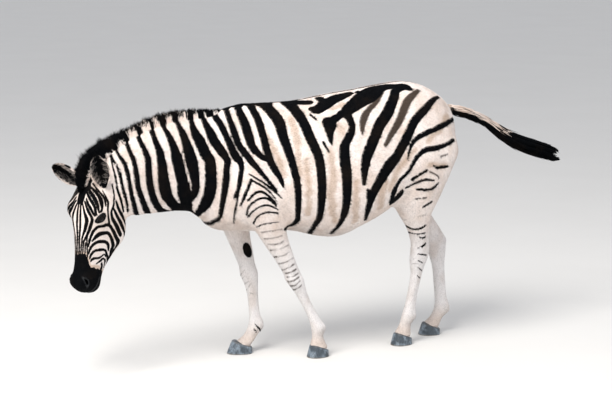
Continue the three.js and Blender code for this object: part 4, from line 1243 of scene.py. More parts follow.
# %% Unwrap of the tubes
ISLANDS = {  # left, bottom, width and height in the unit square
    "trunk": (0.01, 0.01, 0.655, 0.45), "neck": (0.685, 0.01, 0.305, 0.26),
    "head": (0.685, 0.285, 0.305, 0.185), "tail": (0.85, 0.48, 0.055, 0.38),
    "foreleg_left": (0.01, 0.48, 0.195, 0.41), "foreleg_right": (0.22, 0.48, 0.195, 0.41),
    "hindleg_left": (0.43, 0.48, 0.195, 0.41), "hindleg_right": (0.64, 0.48, 0.195, 0.41),
    "ear_left": (0.92, 0.48, 0.07, 0.12), "ear_right": (0.92, 0.62, 0.07, 0.12)}
ISLAND_ORDER = sorted(ISLANDS)
ISLAND_BOXES = np.array([ISLANDS[name] for name in ISLAND_ORDER])
TRUNK_SPAN, HEAD_SPAN, LEG_SPAN = (-840, 1460), (-60, 620), (10, 1240)  # start and length that is rolled out
HEAD_CORE, EAR_CORE = -60, -14  # middle of the head's section, and of the ear's


def parts_of(p):
    """The name of the tube that each point belongs to."""
    fields = tube_fields(p)
    names = list(TUBES)
    stack = np.stack([fields[n] for n in names], 1)
    stack[:, names.index("head")] -= 6
    return np.array(names)[stack.argmin(1)]


def share_of(value, span):
    """Where a value lies in a span, given by its start and its length."""
    return (value - span[0]) / span[1]


def rolled(p, part):
    """Turn (0 to 1, from the underside) and length (0 to 1) of each point in its own tube."""
    turn, along = np.zeros(len(p)), np.zeros(len(p))
    for name in ISLANDS:
        mine = part == name
        q = p[mine]
        if not len(q):
            continue
        if name == "trunk":
            level = np.interp(q[:, 1], TRUNK[:, 0], TRUNK[:, 2])
            across, high, share = q[:, 0], q[:, 2] - level, share_of(q[:, 1], TRUNK_SPAN)
        elif name in ("neck", "tail"):
            line = NECK_LINE if name == "neck" else DOCK_LINE
            s, across, high = line.place(q)
            share = s / line.length[-1]
        elif name == "head":
            h = to_head(q)
            across, high, share = h[:, 2], h[:, 1] - HEAD_CORE, share_of(h[:, 0], HEAD_SPAN)
        elif name in LEGS:
            across, high = leg_axes(name, q)
            share = share_of(q[:, 2], LEG_SPAN)
        else:
            root, up, way, side = ear_axes(name)
            across, high = (q - root) @ side, (q - root) @ way - EAR_CORE
            share = (q - root) @ up / EAR_LENGTH
        turn[mine] = np.arctan2(across, high) / (2 * np.pi) + 0.5
        along[mine] = np.clip(share, 0, 1)
    return turn, along


def layout(turn, along, part):
    """Places in the unit square: the island's corner plus turn * width and along * height."""
    box = ISLAND_BOXES[np.searchsorted(ISLAND_ORDER, part)]
    return box[:, :2] + np.stack([turn, along], 1) * box[:, 2:]


skin_part = parts_of(points)
for name, (first, last) in EAR_PART.items():
    skin_part[first:last] = name
skin_marks = markings(points, skin_part)
print("black on the skin", round(float((skin_marks["black"] < 0).mean()), 3),
      "parts", {n: int((skin_part == n).sum()) for n in ISLANDS})


# %% Pieces from arrays
def to_frame(p):
    """The body's millimetres to the frame's metres."""
    return (p + np.array([0, CENTRE_Y, 0])) / 1000


def flat_faces(faces):
    """The corners of all faces one after another, and the number of corners of each."""
    return np.concatenate([np.array(f) for f in faces]), np.array([len(f) for f in faces])


def starts_of(sizes):
    """Where each face starts in the row of all corners."""
    return np.concatenate([[0], np.cumsum(sizes)[:-1]])


def piece(name, p, corners, sizes, marks=(), uv=None, smooth=True):
    """A mesh object from whole arrays: vertices, the corners of all faces one after another, and the
    number of corners of each face. `marks` are values kept with each vertex."""
    mesh = bpy.data.meshes.new(name)
    mesh.vertices.add(len(p))
    mesh.vertices.foreach_set("co", np.ascontiguousarray(to_frame(p), np.float32).ravel())
    mesh.loops.add(len(corners))
    mesh.loops.foreach_set("vertex_index", np.asarray(corners, np.int32))
    mesh.polygons.add(len(sizes))
    mesh.polygons.foreach_set("loop_start", starts_of(sizes).astype(np.int32))
    mesh.update(calc_edges=True)
    for key, value in dict(marks).items():
        mesh.attributes.new(key, "FLOAT", "POINT").data.foreach_set("value", value.astype(np.float32))
    if uv is not None:
        layer = mesh.uv_layers.new(name="OFBake")
        layer.data.foreach_set("uv", np.ascontiguousarray(uv, np.float32).ravel())
    mesh.polygons.foreach_set("use_smooth", np.full(len(sizes), smooth))
    mesh.validate()
    made = bpy.data.objects.new(name, mesh)
    bpy.context.scene.collection.objects.link(made)
    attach(made, "root")
    return made


corners, sizes = flat_faces(faces)
starts = starts_of(sizes)
start_of_corner = np.repeat(starts, sizes)
loop_part = skin_part[corners[start_of_corner]]
turn, along = rolled(points[corners], loop_part)
turn -= np.round(turn - turn[start_of_corner])  # a face that crosses the slit runs past it
skin = piece("skin", points, corners, sizes, skin_marks, layout(turn, along, loop_part))
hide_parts("trunk", "neck", "head", "tail", "ear_left", "ear_right",
            *[f"{leg}_{half}" for leg in LEGS for half in ("upper", "lower")])
print("skin triangles", int((sizes - 2).sum()))

# %% [markdown]
# ## Materials
# Skin and coat are painted by the same graph, so a stripe is the same on both. White hair is warm
# and uneven, and low on the legs it is greyer and cooler, which is painted shade. Black hair is a
# deep brown-black, brown shadows are soft at their edges, and bare skin is dark and finer. The lie
# of the hair is a bump that is stretched along the rolled-out layout.


# %% Node graphs
class Graph:
    """A material that is built a node at a time; inputs are values or other nodes' outputs."""

    def __init__(self, name):
        self.material = bpy.data.materials.new(name)
        self.material.use_nodes = True
        self.tree = self.material.node_tree
        self.tree.nodes.clear()

    def add(self, kind, inputs=(), out=0, **settings):
        node = self.tree.nodes.new(kind)
        for key, value in settings.items():
            setattr(node, key, value)
        for key, value in dict(inputs).items():
            socket = node.inputs[key]
            if isinstance(value, bpy.types.NodeSocket):
                self.tree.links.new(value, socket)
            else:
                socket.default_value = value
        return node.outputs[out]

    def math(self, operation, a, b=0.0):
        return self.add("ShaderNodeMath", {0: a, 1: b}, operation=operation)

    def scaled(self, value, factor, plus):
        """plus + value * factor"""
        return self.math("ADD", plus, self.math("MULTIPLY", value, factor))

    def bump(self, strength, distance, height):
        return self.add("ShaderNodeBump", {
            "Strength": strength, "Distance": distance, "Height": height}, out="Normal")

    def value(self, name):
        return self.add("ShaderNodeAttribute", attribute_name=name, out="Fac")

    def object_place(self):
        return self.add("ShaderNodeTexCoord", out="Object")

    def stretched(self, place, scale):
        return self.add("ShaderNodeMapping", {"Vector": place, "Scale": scale}, out="Vector")

    def noise(self, place, scale, detail=3.0, rough=0.55):
        return self.add("ShaderNodeTexNoise", {"Vector": place, "Scale": scale, "Detail": detail,
                                               "Roughness": rough}, out="Fac")

    def span(self, value, low, high, to_low=0.0, to_high=1.0, smooth=True):
        kind = "SMOOTHSTEP" if smooth else "LINEAR"
        return self.add("ShaderNodeMapRange", {
            "Value": value, "From Min": low, "From Max": high, "To Min": to_low, "To Max": to_high,
        }, out="Result", interpolation_type=kind)

    def mix(self, share, a, b):
        return self.add("ShaderNodeMix", {0: share, 6: a, 7: b}, out=2, data_type="RGBA")

    def finish(self, inputs, normal=None):
        shader = self.add("ShaderNodeBsdfPrincipled", inputs)
        if normal is not None:
            self.tree.links.new(normal, shader.node.inputs["Normal"])
        output = self.tree.nodes.new("ShaderNodeOutputMaterial")
        self.tree.links.new(shader, output.inputs["Surface"])
        return self.material


print("a graph can", [name for name in vars(Graph) if not name.startswith("_")])

# %% The coat's material
WHITE_HAIR, CREAM_HAIR = (0.82, 0.745, 0.705, 1), (0.74, 0.635, 0.575, 1)
BLACK_HAIR, SOOT_HAIR = (0.0012, 0.0016, 0.0024, 1), (0.007, 0.005, 0.004, 1)
BROWN_HAIR, TAN_HAIR = (0.040, 0.026, 0.018, 1), (0.42, 0.28, 0.18, 1)
# greyer, cooler white for the lower legs: painted shade, not a colour of the hair
LEG_HAIR_PAINTED_SHADE = (0.72, 0.71, 0.715, 1)
BARE_SKIN = (0.009, 0.010, 0.012, 1)


def coat_material(name, streaks, bump, bright=1.0):
    """The painted coat. `streaks` is how strongly single hairs differ, `bump` their height, and
    `bright` lifts hair that stands in its own shade."""
    g = Graph(name)
    place = g.object_place()
    patch = g.noise(place, 9.0)
    speck = g.noise(place, 160.0, 2.0)
    layout_place = g.add("ShaderNodeUVMap", uv_map="OFBake")
    stretched = g.stretched(layout_place, (900.0, 130.0, 1.0))
    hairs = g.noise(stretched, 1.0, 2.0)
    bare = g.value("bare")
    white = g.mix(g.span(patch, 0.35, 0.7), WHITE_HAIR, CREAM_HAIR)
    level = g.add("ShaderNodeSeparateXYZ", {0: place}, out="Z")
    # painted shade: below 0.75 m the white turns greyer and cooler, three quarters of the way by 0.45 m
    white = g.mix(g.span(level, 0.45, 0.75, 0.75, 0.0), white, LEG_HAIR_PAINTED_SHADE)
    white = g.mix(g.math("MULTIPLY", g.value("tan"), 0.8), white, TAN_HAIR)
    soot = g.mix(g.span(patch, 0.45, 0.75), BLACK_HAIR, SOOT_HAIR)
    brown_edge = g.scaled(speck, 5.0, g.value("brown"))
    brown = g.math("MULTIPLY", g.span(brown_edge, -3.0, 5.0, 1.0, 0.0), 0.97)
    colour = g.mix(brown, white, BROWN_HAIR)
    edge = g.scaled(g.math("SUBTRACT", speck, 0.5), 5.0, g.value("black"))
    colour = g.mix(g.span(edge, -1.2, 1.2, 1.0, 0.0), colour, soot)
    colour = g.mix(bare, colour, BARE_SKIN)
    tone = g.scaled(hairs, streaks, g.math("MULTIPLY", g.value("vary"), streaks))
    tone = g.math("SUBTRACT", bright + streaks * 0.5, tone)
    colour = g.add("ShaderNodeVectorMath", {0: colour, "Scale": tone}, operation="SCALE", out="Vector")
    surface = {"Base Color": colour, "Roughness": g.scaled(bare, -0.28, 0.74),
               "Specular IOR Level": g.scaled(bare, 0.2, 0.05)}
    return g.finish(surface, g.bump(bump, 0.002, g.scaled(speck, 0.5, hairs)))


skin_material = coat_material("hide", 0.18, 0.35)
skin.data.materials.append(skin_material)
print("nodes of the coat", len(skin_material.node_tree.nodes))

# %% [markdown]
# ## Tufts
# A zebra's coat is short and lies flat, but it is what catches the light and breaks the outline.
# Each tuft is a thin sliver with four corners: two at the sides of its root, one on top, and the
# tip. The root is sunk in the skin, and the tip lies the way the hair does: back along the neck and
# trunk, down the legs and the face, out along the ears. Tufts are long on the belly, short on the
# legs and shortest on the face.

# %% Where the hair lies
def lie(p, part):
    """The way the hair lies at each point, before it is laid on the skin."""
    haunch = ramp(p[:, 1], 150, 400)
    way = np.stack([0 * haunch, 1 - 0.6 * haunch, -0.25 - 0.7 * haunch], 1)
    way[part == "neck"] = [0, 1, -0.35]
    way[part == "head"] = HEAD_DOWN - 0.3 * HEAD_FRONT
    way[part == "tail"] = [0, 0.9, -0.4]
    for name in LEGS:
        mine = part == name
        low = ramp(p[mine, 2], 900, 650)[:, None]
        way[mine] = way[mine] * (1 - low) + low * np.array([0, 0.15, -1])
    for name in EARS:
        way[part == name] = ear_axes(name)[1]
    swirl = np.stack([ripple(p, 240, s) for s in (31, 32, 33)], 1) * 0.22
    return way + swirl


BODY_TUFT, EAR_TUFT, MUZZLE_TUFT = 9.5, 6.5, 2.6  # lengths of tufts


def tuft_length(p, part):
    """In millimetres: more on the belly and behind the fetlocks, and less and less down the face."""
    length = np.full(len(p), BODY_TUFT)
    keel = np.interp(p[:, 1], TRUNK[:, 0], TRUNK[:, 3])
    length += 4 * ramp(p[:, 2] - keel, 90, 30) * (part == "trunk")
    for name in LEGS:
        mine = np.flatnonzero(part == name)
        q = p[mine]
        short = 6.5 + 3 * ramp(q[:, 2], 500, 800)
        _, ahead = leg_axes(name, q)
        fetlock = np.exp(-((q[:, 2] - 135) / 26) ** 2) * ramp(ahead, 0, -24)
        length[mine] = short + 10 * fetlock
    h = folded_head(p)
    face = ramp(h[:, 0], 20, 140)
    length = np.where(part == "head", 8 - 4.2 * face, length)
    length = np.where((part == "head") & (h[:, 0] > 400), MUZZLE_TUFT, length)
    return np.where(np.char.startswith(part, "ear"), EAR_TUFT, length)


print("a tuft on the flank lies along", lie(np.array([[250.0, 0, 1000]]), np.array(["trunk"])).round(2))

# %% Roots, spread evenly over the skin
LARGEST_FAN = 5  # most triangles of one face that hair grows on
triangles = np.concatenate([corners[starts[sizes > k + 1][:, None] + [0, k, k + 1]]
                            for k in range(1, LARGEST_FAN + 1)])
corner_a, corner_b, corner_c = [points[triangles[:, k]] for k in range(3)]
cross = np.cross(corner_b - corner_a, corner_c - corner_a)
area = np.linalg.norm(cross, axis=1) / 2
skin_normal = np.zeros_like(points)
for k in range(3):
    np.add.at(skin_normal, triangles[:, k], cross)
skin_normal = unit(skin_normal)
triangle_part = skin_part[triangles[:, 0]]
middle = (corner_a + corner_b + corner_c) / 3
print("skin area in square metres", round(area.sum() / 1e6, 2))


def spread(count, chosen, density, seed):
    """Points on the chosen triangles, as likely as their area times the density, with their normals:
    a corner sum a(1-u-v) + b u + c v, with u and v even over the triangle."""
    rng = np.random.default_rng(seed)
    index = np.flatnonzero(chosen)
    weight = np.cumsum(area[index] * density[index])
    pick = index[np.searchsorted(weight, rng.random(count) * weight[-1])]
    u, v = rng.random((2, count))
    over = u + v > 1
    u, v = np.where(over, 1 - u, u)[:, None], np.where(over, 1 - v, v)[:, None]
    found = corner_a[pick] * (1 - u - v) + corner_b[pick] * u + corner_c[pick] * v
    normal = sum(skin_normal[triangles[pick, k]] * w for k, w in ((0, 1 - u - v), (1, u), (2, v)))
    return found, unit(normal), triangle_part[pick]


print("a root", spread(1, area > 0, np.ones(len(area)), 1)[0].round())

# %% Tufts on their roots
PATCH = 0.003  # size of a tuft's patch in the layout
RISE = np.radians([9, 20])  # how steeply tufts stand
SUNK = 0.6  # how far their roots are sunk in the skin
TUFT_CORNERS = np.array([0, 2, 1, 0, 3, 2, 2, 3, 1, 1, 3, 0])  # four triangles of left, right, ridge, tip


def tufts(name, count, chosen, seed):
    """One piece of coat: tip = root + length * (cos(rise) * lie + sin(rise) * normal)."""
    h = folded_head(middle)
    density = np.where(triangle_part == "head", 2.6, 1.0) * np.where(h[:, 0] > 150, 1.3, 1.0)
    density = np.where(np.char.startswith(triangle_part, "ear"), 3.2, density)
    root, normal, part = spread(count, chosen, density, seed)
    rng = np.random.default_rng(seed + 1)
    marks = markings(root, part)
    way = lie(root, part) + rng.normal(scale=0.16, size=(count, 3))
    way = unit(way - normal * (way * normal).sum(1)[:, None])
    side = np.cross(way, normal)
    length = tuft_length(root, part) * rng.uniform(0.75, 1.2, count)
    length *= np.where(marks["bare"] > 0.5, 0.35, 1)
    rise = rng.uniform(*RISE, count)
    wide = (0.10 * length + 0.75)[:, None]
    tip = root + length[:, None] * (np.cos(rise)[:, None] * way + np.sin(rise)[:, None] * normal)
    left, right = root - normal * SUNK + side * wide, root - normal * SUNK - side * wide
    ridge = root + normal * (0.3 + 0.22 * wide) + way * length[:, None] * 0.2
    p = np.stack([left, right, ridge, tip], 1).reshape(-1, 3)
    corners = (4 * np.arange(count)[:, None] + TUFT_CORNERS).ravel()
    keep = {key: np.repeat(value, 4) for key, value in marks.items()}
    keep["vary"] = np.repeat(rng.random(count), 4)
    place = layout(*rolled(root, part), part)
    square = np.array([[0, 0], [1, 0], [0, 1], [1, 1]]) * PATCH
    patch = (place[:, None] + square - PATCH / 2).reshape(-1, 2)
    made = piece(name, p, corners, np.full(4 * count, 3), keep, patch[corners], smooth=False)
    made.data.materials.append(tuft_material)
    return made


print("triangles of a tuft", len(TUFT_CORNERS) // 3)

# %% The whole coat
tuft_material = coat_material("hair", 0.3, 0.1)
on_left = middle[:, 0] - np.interp(middle[:, 1], NECK[::-1, 1], NECK[::-1, 0]) > 0
is_leg = np.isin(triangle_part, list(LEGS))
is_trunk = np.isin(triangle_part, ["trunk", "tail"])
is_top = np.isin(triangle_part, ["head", "ear_left", "ear_right"])
hidden = (middle[:, 2] < 44) | (middle[:, 1] > 900)
SHARE = 1.0
COAT_PIECES = [
    ("coat_head", 46000, is_top), ("coat_neck", 38000, triangle_part == "neck"),
    ("coat_trunk_left", 48000, is_trunk & on_left), ("coat_trunk_right", 48000, is_trunk & ~on_left),
    ("coat_legs_left", 36000, is_leg & on_left), ("coat_legs_right", 36000, is_leg & ~on_left)]
for number, (name, count, chosen) in enumerate(COAT_PIECES):
    made = tufts(name, int(count * SHARE), chosen & ~hidden, 100 + 2 * number)
    print(name, len(made.data.polygons), "triangles")

# %% [markdown]
# ## Mane and tail
# The mane stands up like a brush from the crest of the neck, and the stripes run on into it. The
# tail ends in a long black tuft. Both are locks: thin three-sided spikes along a curve, wide at the
# root and drawn to a point, each a little different in length, width and direction.

# %% Locks
LOCK_TURN = np.array([0, 2 * np.pi / 3, 4 * np.pi / 3])


def lock_marks(count, rings, black, vary, tan=0.0, bare=0.0):
    """The values kept with locks, spread over all their rings."""
    flat = np.ones((count, rings))
    return {"black": black * flat, "brown": CLEAR * flat, "bare": bare * flat, "tan": tan * flat,
            "vary": vary * flat}


def locks(name, path, side, wide, marks, root, part):
    """Spikes along curves. `path` is locks by rings by 3, the last ring being the tip; a ring's three
    corners are path + wide * (cos(turn) * side + sin(turn) * third), third square to path and side.
    `root` and `part` say where the locks lie in the layout."""
    count, rings = path.shape[:2]
    way = unit(np.gradient(path, axis=1))
    side = np.broadcast_to(side, (count, 3))[:, None]
    side = unit(side - way * (way * side).sum(2)[..., None])
    third = np.cross(way, side)
    size = (wide * np.ones((count, rings)))[:, :-1, None, None]
    ring = path[:, :-1, None] + size * (np.cos(LOCK_TURN)[:, None] * side[:, :-1, None]
                                        + np.sin(LOCK_TURN)[:, None] * third[:, :-1, None])
    p = np.concatenate([ring.reshape(count, -1, 3), path[:, -1:]], 1)
    each = 3 * (rings - 1) + 1
    one = [[0, 2, 1]]
    for i in range(rings - 2):
        for k in range(3):
            a, b = 3 * i + k, 3 * i + (k + 1) % 3
            one += [[a, b, a + 3], [b, b + 3, a + 3]]
    last = 3 * (rings - 2)
    one += [[last + k, last + (k + 1) % 3, each - 1] for k in range(3)]
    one = np.array(one)
    corners = (np.arange(count)[:, None, None] * each + one).ravel()
    level = np.append(np.repeat(np.arange(rings - 1), 3), rings - 1)
    keep = {key: value[:, level].ravel() for key, value in marks.items()}
    part = np.full(count, part)
    uv = layout(*rolled(root, part), part)
    patch = uv[:, None] + np.stack([np.tile([0, 0.5, 1], rings)[:each], level / rings], 1) * PATCH
    patch = patch.reshape(-1, 2)[corners]
    made = piece(name, p.reshape(-1, 3), corners, np.full(count * len(one), 3), keep, patch)
    made.data.materials.append(lock_material)
    return made


LOCK_SHARE = 1.0
lock_material = coat_material("long_hair", 0.14, 0.1, 1.18)
print("locks are painted with", lock_material.name)

# %% Mane
MANE_ROOT = 22  # how deep a lock starts below the crest
MANE_RINGS, MANE_TAPER = 5, np.array([1, 1, 0.85, 0.55, 0])
DARK_AT, DARK_FROM = np.array([0, 0.25, 0.55, 0.72]), [0.66, 0.68, 0.72, 0.15]  # how far up black tips start
mane_rows = smooth_rows(MANE)
mane_way = unit(np.gradient(mane_rows[:, :3], axis=0))
mane_up = unit(UPRIGHT - mane_way * mane_way[:, 2:])
mane_length = run_length(mane_rows[:, :3])


def mane_stripes():
    """Where the neck's stripes reach the mane, as lengths along it, and their half widths there."""
    found = []
    for line, half in black_stripes[:NECK_STRIPES]:
        gap = np.linalg.norm(mane_rows[:, :3] - line[0], axis=1)
        if gap.min() < 90:
            found.append((mane_length[gap.argmin()], half[:6].mean()))
    return np.array(found)


def mane(count, seed):
    """Locks from below the crest to its top: root + up * height * share, fanned out to the sides and
    leaning a little, more at the forelock."""
    rng = np.random.default_rng(seed)
    s = rng.random(count) * mane_length[-1]
    row, up, way = [rows_at(s, mane_length, table) for table in (mane_rows, mane_up, mane_way)]
    side = np.cross(way, up)
    short = rng.random(count) < 0.35
    outer = np.sign(rng.uniform(-1, 1, count)) * rng.uniform(0.7, 1.25, count)
    off = np.where(short, outer, rng.uniform(-1, 1, count))
    height, half = row[:, 3], row[:, 4]
    sunk = MANE_ROOT - 6 * (1 - off**2)
    start = row[:, :3] + side * (off * half * 0.72)[:, None] - up * sunk[:, None]
    clump = ripple(start * [1, 1, 0.2], 34, 41)
    tall = (MANE_ROOT + height) * (0.97 - 0.10 * off**2) * rng.uniform(0.80, 1.04, count) + 5 * clump
    tall = np.where(short, tall * rng.uniform(0.4, 0.85, count), tall)
    lean = rng.normal(scale=0.05, size=(count, 3)) + side * (off * 0.06)[:, None]
    lean = lean + way * (0.05 * clump)[:, None]
    share = np.linspace(0, 1, MANE_RINGS)[None, :, None]
    path = start[:, None] + (up[:, None] + lean[:, None] * share) * tall[:, None, None] * share
    wide = rng.uniform(1.7, 3.0, count)[:, None] * MANE_TAPER
    base = row[:, :3] - up * 20 + side * (off * 30)[:, None]
    at, wide_at = mane_stripes().T
    stripe = (np.abs(s[:, None] - at) - wide_at * 0.78).min(1) + rng.normal(scale=2, size=count)
    level = share[0, :, 0] * tall[:, None] / (MANE_ROOT + height[:, None])
    dark_from = np.interp(s, DARK_AT * mane_length[-1], DARK_FROM)
    dark_from = dark_from + 0.14 * clump + rng.normal(scale=0.07, size=count)
    dark_tip = (dark_from[:, None] - level) * (MANE_ROOT + height[:, None])
    black = np.minimum(stripe[:, None], dark_tip)
    marks = lock_marks(count, MANE_RINGS, black, rng.random((count, 1)), 0.04)
    return locks("mane_locks", path, side, wide, marks, base, "neck")


mane_locks = mane(int(9000 * LOCK_SHARE), 51)
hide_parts("mane")
print("mane", len(mane_locks.data.polygons), "triangles")

# %% [markdown]
# ## Finer hair
# Short pale and dark locks fill the ears' openings from both edges. Lashes stand along the upper
# lids, a little curved.

# %% Hair in the ears, and lashes
FINE_TAPER = np.array([1, 1, 0.8, 0.5, 0])
FINE_STEP = np.linspace(0, 1, len(FINE_TAPER))


def straight(base, way, length):
    """Rings along straight locks: base + way * length * step."""
    return base[:, None] + way[:, None] * length[:, None, None] * FINE_STEP[None, :, None]


def ear_hair(name, count, seed):
    """Short locks on the scoop's inner arc, near its two edges, that lean over the opening."""
    rng = np.random.default_rng(seed)
    root, up, out, side = ear_axes(name)
    share = rng.uniform(0.10, 0.90, count)
    half, hollow = [np.interp(share, EAR[:, 0], EAR[:, c]) for c in (1, 2)]
    angle = rng.uniform(0.05, 1.0, count)
    hand = rng.choice([-1, 1], count)
    across = hand * half * EAR_RIM * np.cos(angle)
    deep = -half * EAR_DEPTH * hollow * np.sin(angle)
    base = root + up * (share * EAR_LENGTH)[:, None] + side * across[:, None] + out * (deep - 2)[:, None]
    way = up * 0.7 + out * 0.35 - side * (hand * 0.6)[:, None] + rng.normal(scale=0.18, size=(count, 3))
    path = straight(base, way, rng.uniform(14, 30, count))
    wide = rng.uniform(0.5, 1.1, count)[:, None] * FINE_TAPER
    black = np.where(rng.random((count, 1)) < 0.34, 9.0, -6.0)
    marks = lock_marks(count, len(FINE_TAPER), black, rng.random((count, 1)), bare=0.55)
    return locks(name.replace("ear", "hair_in_ear"), path, UPRIGHT, wide, marks, base, name)


def lashes(name, hand, count, seed):
    """Fine spikes from the upper lid's rim, along the slit, out and a little up."""
    rng = np.random.default_rng(seed)
    along = rng.uniform(-0.85, 0.75, count) * SLIT_HALF
    high = UPPER_LID * (1 - (along / SLIT_HALF) ** 2) + 1.5
    ahead = np.sqrt((EYE_RADIUS + LID) ** 2 - along**2 - high**2) - 1
    base = EYE + SLIT * along[:, None] + LID_UP * high[:, None] + GAZE * ahead[:, None]
    way = GAZE * 0.8 + LID_UP * 0.15 + SLIT * (along / 60)[:, None]
    way = way + rng.normal(scale=0.08, size=(count, 3))
    path = straight(base, way, rng.uniform(9, 15, count))
    path = path + LID_UP * (3 * FINE_STEP**2 - 3 * FINE_STEP)[None, :, None]
    path = from_head(path * [1, 1, hand])
    marks = lock_marks(count, len(FINE_TAPER), -8, 0.5)
    return locks(name, path, UPRIGHT, 0.45 * FINE_TAPER, marks, path[:, 0], "head")


fine_hair = [ear_hair(name, int(420 * LOCK_SHARE), 71 + n) for n, name in enumerate(EARS)]
fine_hair += [lashes("lashes_left", 1, 46, 75), lashes("lashes_right", -1, 46, 76)]
print("ear hair and lashes", [len(made.data.polygons) for made in fine_hair])

# %% Tail
HAIR_FROM = 590  # y where hair starts on the dock
STRANDS = 9  # the bunches that the tail's end falls into
TAIL_TAPER = np.array([0.8, 1, 1, 1, 0.95, 0.85, 0.7, 0.45, 0])
TAIL_RINGS = len(TAIL_TAPER)
PAST_END = 34  # how much longer than the tail's line the longest locks are


def tail(count, seed):
    """Locks that leave the dock and follow the tail: at a length s the lock is on the dock's line, off
    it by the section's radius times how far out the lock lies, which grows along it."""
    rng = np.random.default_rng(seed)
    line = TAIL_LINE
    begin = np.interp(HAIR_FROM, line.rows[:, 1], line.length)
    total = line.length[-1]
    s0 = begin + (total - 90 - begin) * rng.random(count) ** 0.85
    early = np.interp(s0 - begin, [0, 130, 190, 300], [0.36, 0.42, 0.75, 1])
    run = rng.uniform(150, 330, count) * early
    share = np.linspace(0, 1, TAIL_RINGS)
    angle = rng.uniform(0, 2 * np.pi, count)
    strand = np.floor(angle / (2 * np.pi) * STRANDS)
    strand_angle = (strand + 0.5) * 2 * np.pi / STRANDS
    ahead = ramp(s0 + run - total, -300, -80)
    angle = angle[:, None] + (0.92 * ahead * (strand_angle - angle))[:, None] * share**2
    finish = total - 48 + 44 * (strand % 2) - 30 * np.sin(strand_angle) + rng.normal(scale=8, size=count)
    run = np.minimum(run, np.maximum(finish - s0, 60))
    s = s0[:, None] + run[:, None] * share
    tables = line.rows[:, :3], line.side, line.up, line.rows[:, 3:6]
    centre, left, up, row = [line.at(s, table) for table in tables]
    dock = DOCK_LINE.at(s, DOCK_LINE.rows[:, 3:4])[..., 0]
    out = rng.uniform(0.35, 1.0, count)[:, None] ** 0.6
    out = out + (1.15 - out[:, 0])[:, None] * (0.92 * ahead)[:, None] * share**2
    puff = np.interp(s, [begin, begin + 120, begin + 240], [7, 8, 0])
    grow = np.clip(share * 2.2, 0, 1)
    high = np.where(np.sin(angle) > 0, row[..., 1], row[..., 2]) * 0.96
    across_r = dock * 0.8 * (1 - grow) + (row[..., 0] * 0.96 + puff) * out * grow
    high_r = dock * 0.8 * (1 - grow) + (high + puff) * out * grow
    path = centre + left * (np.cos(angle) * across_r)[..., None] + up * (np.sin(angle) * high_r)[..., None]
    path = path + rng.normal(scale=1.0, size=(count, 1, 3)) * (share[:, None] ** 2) * 3
    path = path + line.way[-1] * (np.clip(s - total, 0, PAST_END) * 0.25)[..., None]
    wide = rng.uniform(1.4, 2.6, count)[:, None] * TAIL_TAPER
    pale = (s[:, :1] < begin + 300) & (np.sin(angle[:, :1]) > -0.1) & (rng.random((count, 1)) < 0.85)
    black = np.where(pale, 14 - 0.12 * (s - s0[:, None]), -8.0)
    marks = lock_marks(count, TAIL_RINGS, black, rng.random((count, 1)), 0.45)
    return locks("tail_locks", path, UPRIGHT, wide, marks, path[:, 0], "tail")


tail_locks = tail(int(3400 * LOCK_SHARE), 61)
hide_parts("tail_tuft")
print("tail", len(tail_locks.data.polygons), "triangles")

# %% [markdown]
# ## Eyes
# An eye is a dark brown, nearly black ball with a long level pupil, wet enough to show the light.
# How far each point is from where the eye looks, along the slit and across it, is kept with it.

# %% Eye balls
EYE_ROUND, EYE_RINGS = 48, 32
BULGE = 1.6  # how far the clear front stands out of the ball


def eye(name, hand):
    """Rings of a ball round its gaze: centre + radius * (cos(a) * gaze + sin(a) * (cos(b) * slit +
    sin(b) * third)), third square to both."""
    centre = from_head(EYE * [1, 1, hand])
    gaze, slit = GAZE * [1, 1, hand] @ HEAD_AXES, SLIT * [1, 1, hand] @ HEAD_AXES
    third = np.cross(gaze, slit)
    a = np.linspace(0, np.pi, EYE_RINGS + 2)[1:-1][:, None]
    b = np.linspace(0, 2 * np.pi, EYE_ROUND, endpoint=False)[None, :]
    way = (np.cos(a)[..., None] * gaze + np.sin(a)[..., None]
           * (np.cos(b)[..., None] * slit + np.sin(b)[..., None] * third)).reshape(-1, 3)
    p = centre + (EYE_RADIUS + BULGE * np.clip(way @ gaze - 0.8, 0, 1)[:, None]) * way
    found = outwards(p - centre, tube_faces(EYE_RINGS, EYE_ROUND))
    marks = {"along": way @ slit, "across": way @ third, "ahead": way @ gaze}
    made = piece(name, p, *flat_faces(found), marks)
    made.data.materials.append(eye_material)
    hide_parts(name.replace("ball_", "eye_"))
    return made


g = Graph("eye")
pupil = g.math("ADD", g.math("POWER", g.math("DIVIDE", g.value("along"), 0.42), 2.0),
               g.math("POWER", g.math("DIVIDE", g.value("across"), 0.22), 2.0))
pupil = g.span(g.scaled(g.span(g.value("ahead"), 0, 0.1, 1, 0), 9.0, pupil), 0.8, 1.25)
fibre = g.noise(g.object_place(), 900.0)
iris = g.mix(fibre, (0.006, 0.004, 0.003, 1), (0.018, 0.010, 0.006, 1))
colour = g.mix(pupil, (0.003, 0.003, 0.004, 1), iris)
colour = g.mix(g.span(g.value("ahead"), 0.45, 0.62, 1.0, 0.0), colour, (0.008, 0.006, 0.005, 1))
eye_material = g.finish({"Base Color": colour, "Roughness": 0.1, "Specular IOR Level": 0.08,
                         "Coat Weight": 0.1, "Coat Roughness": 0.03})
eyes = [eye("ball_left", 1), eye("ball_right", -1)]
print("eyes", [len(e.data.polygons) for e in eyes])

# %% [markdown]
# ## Hooves
# A hoof is a horn box: an egg-shaped sole, walls that slope in to a slanting coronet, and faint
# growth rings all round. Its colour is dark slate mottled with paler blue-grey horn, and the pale
# patches are painted highlights. Fine lines run down the wall.

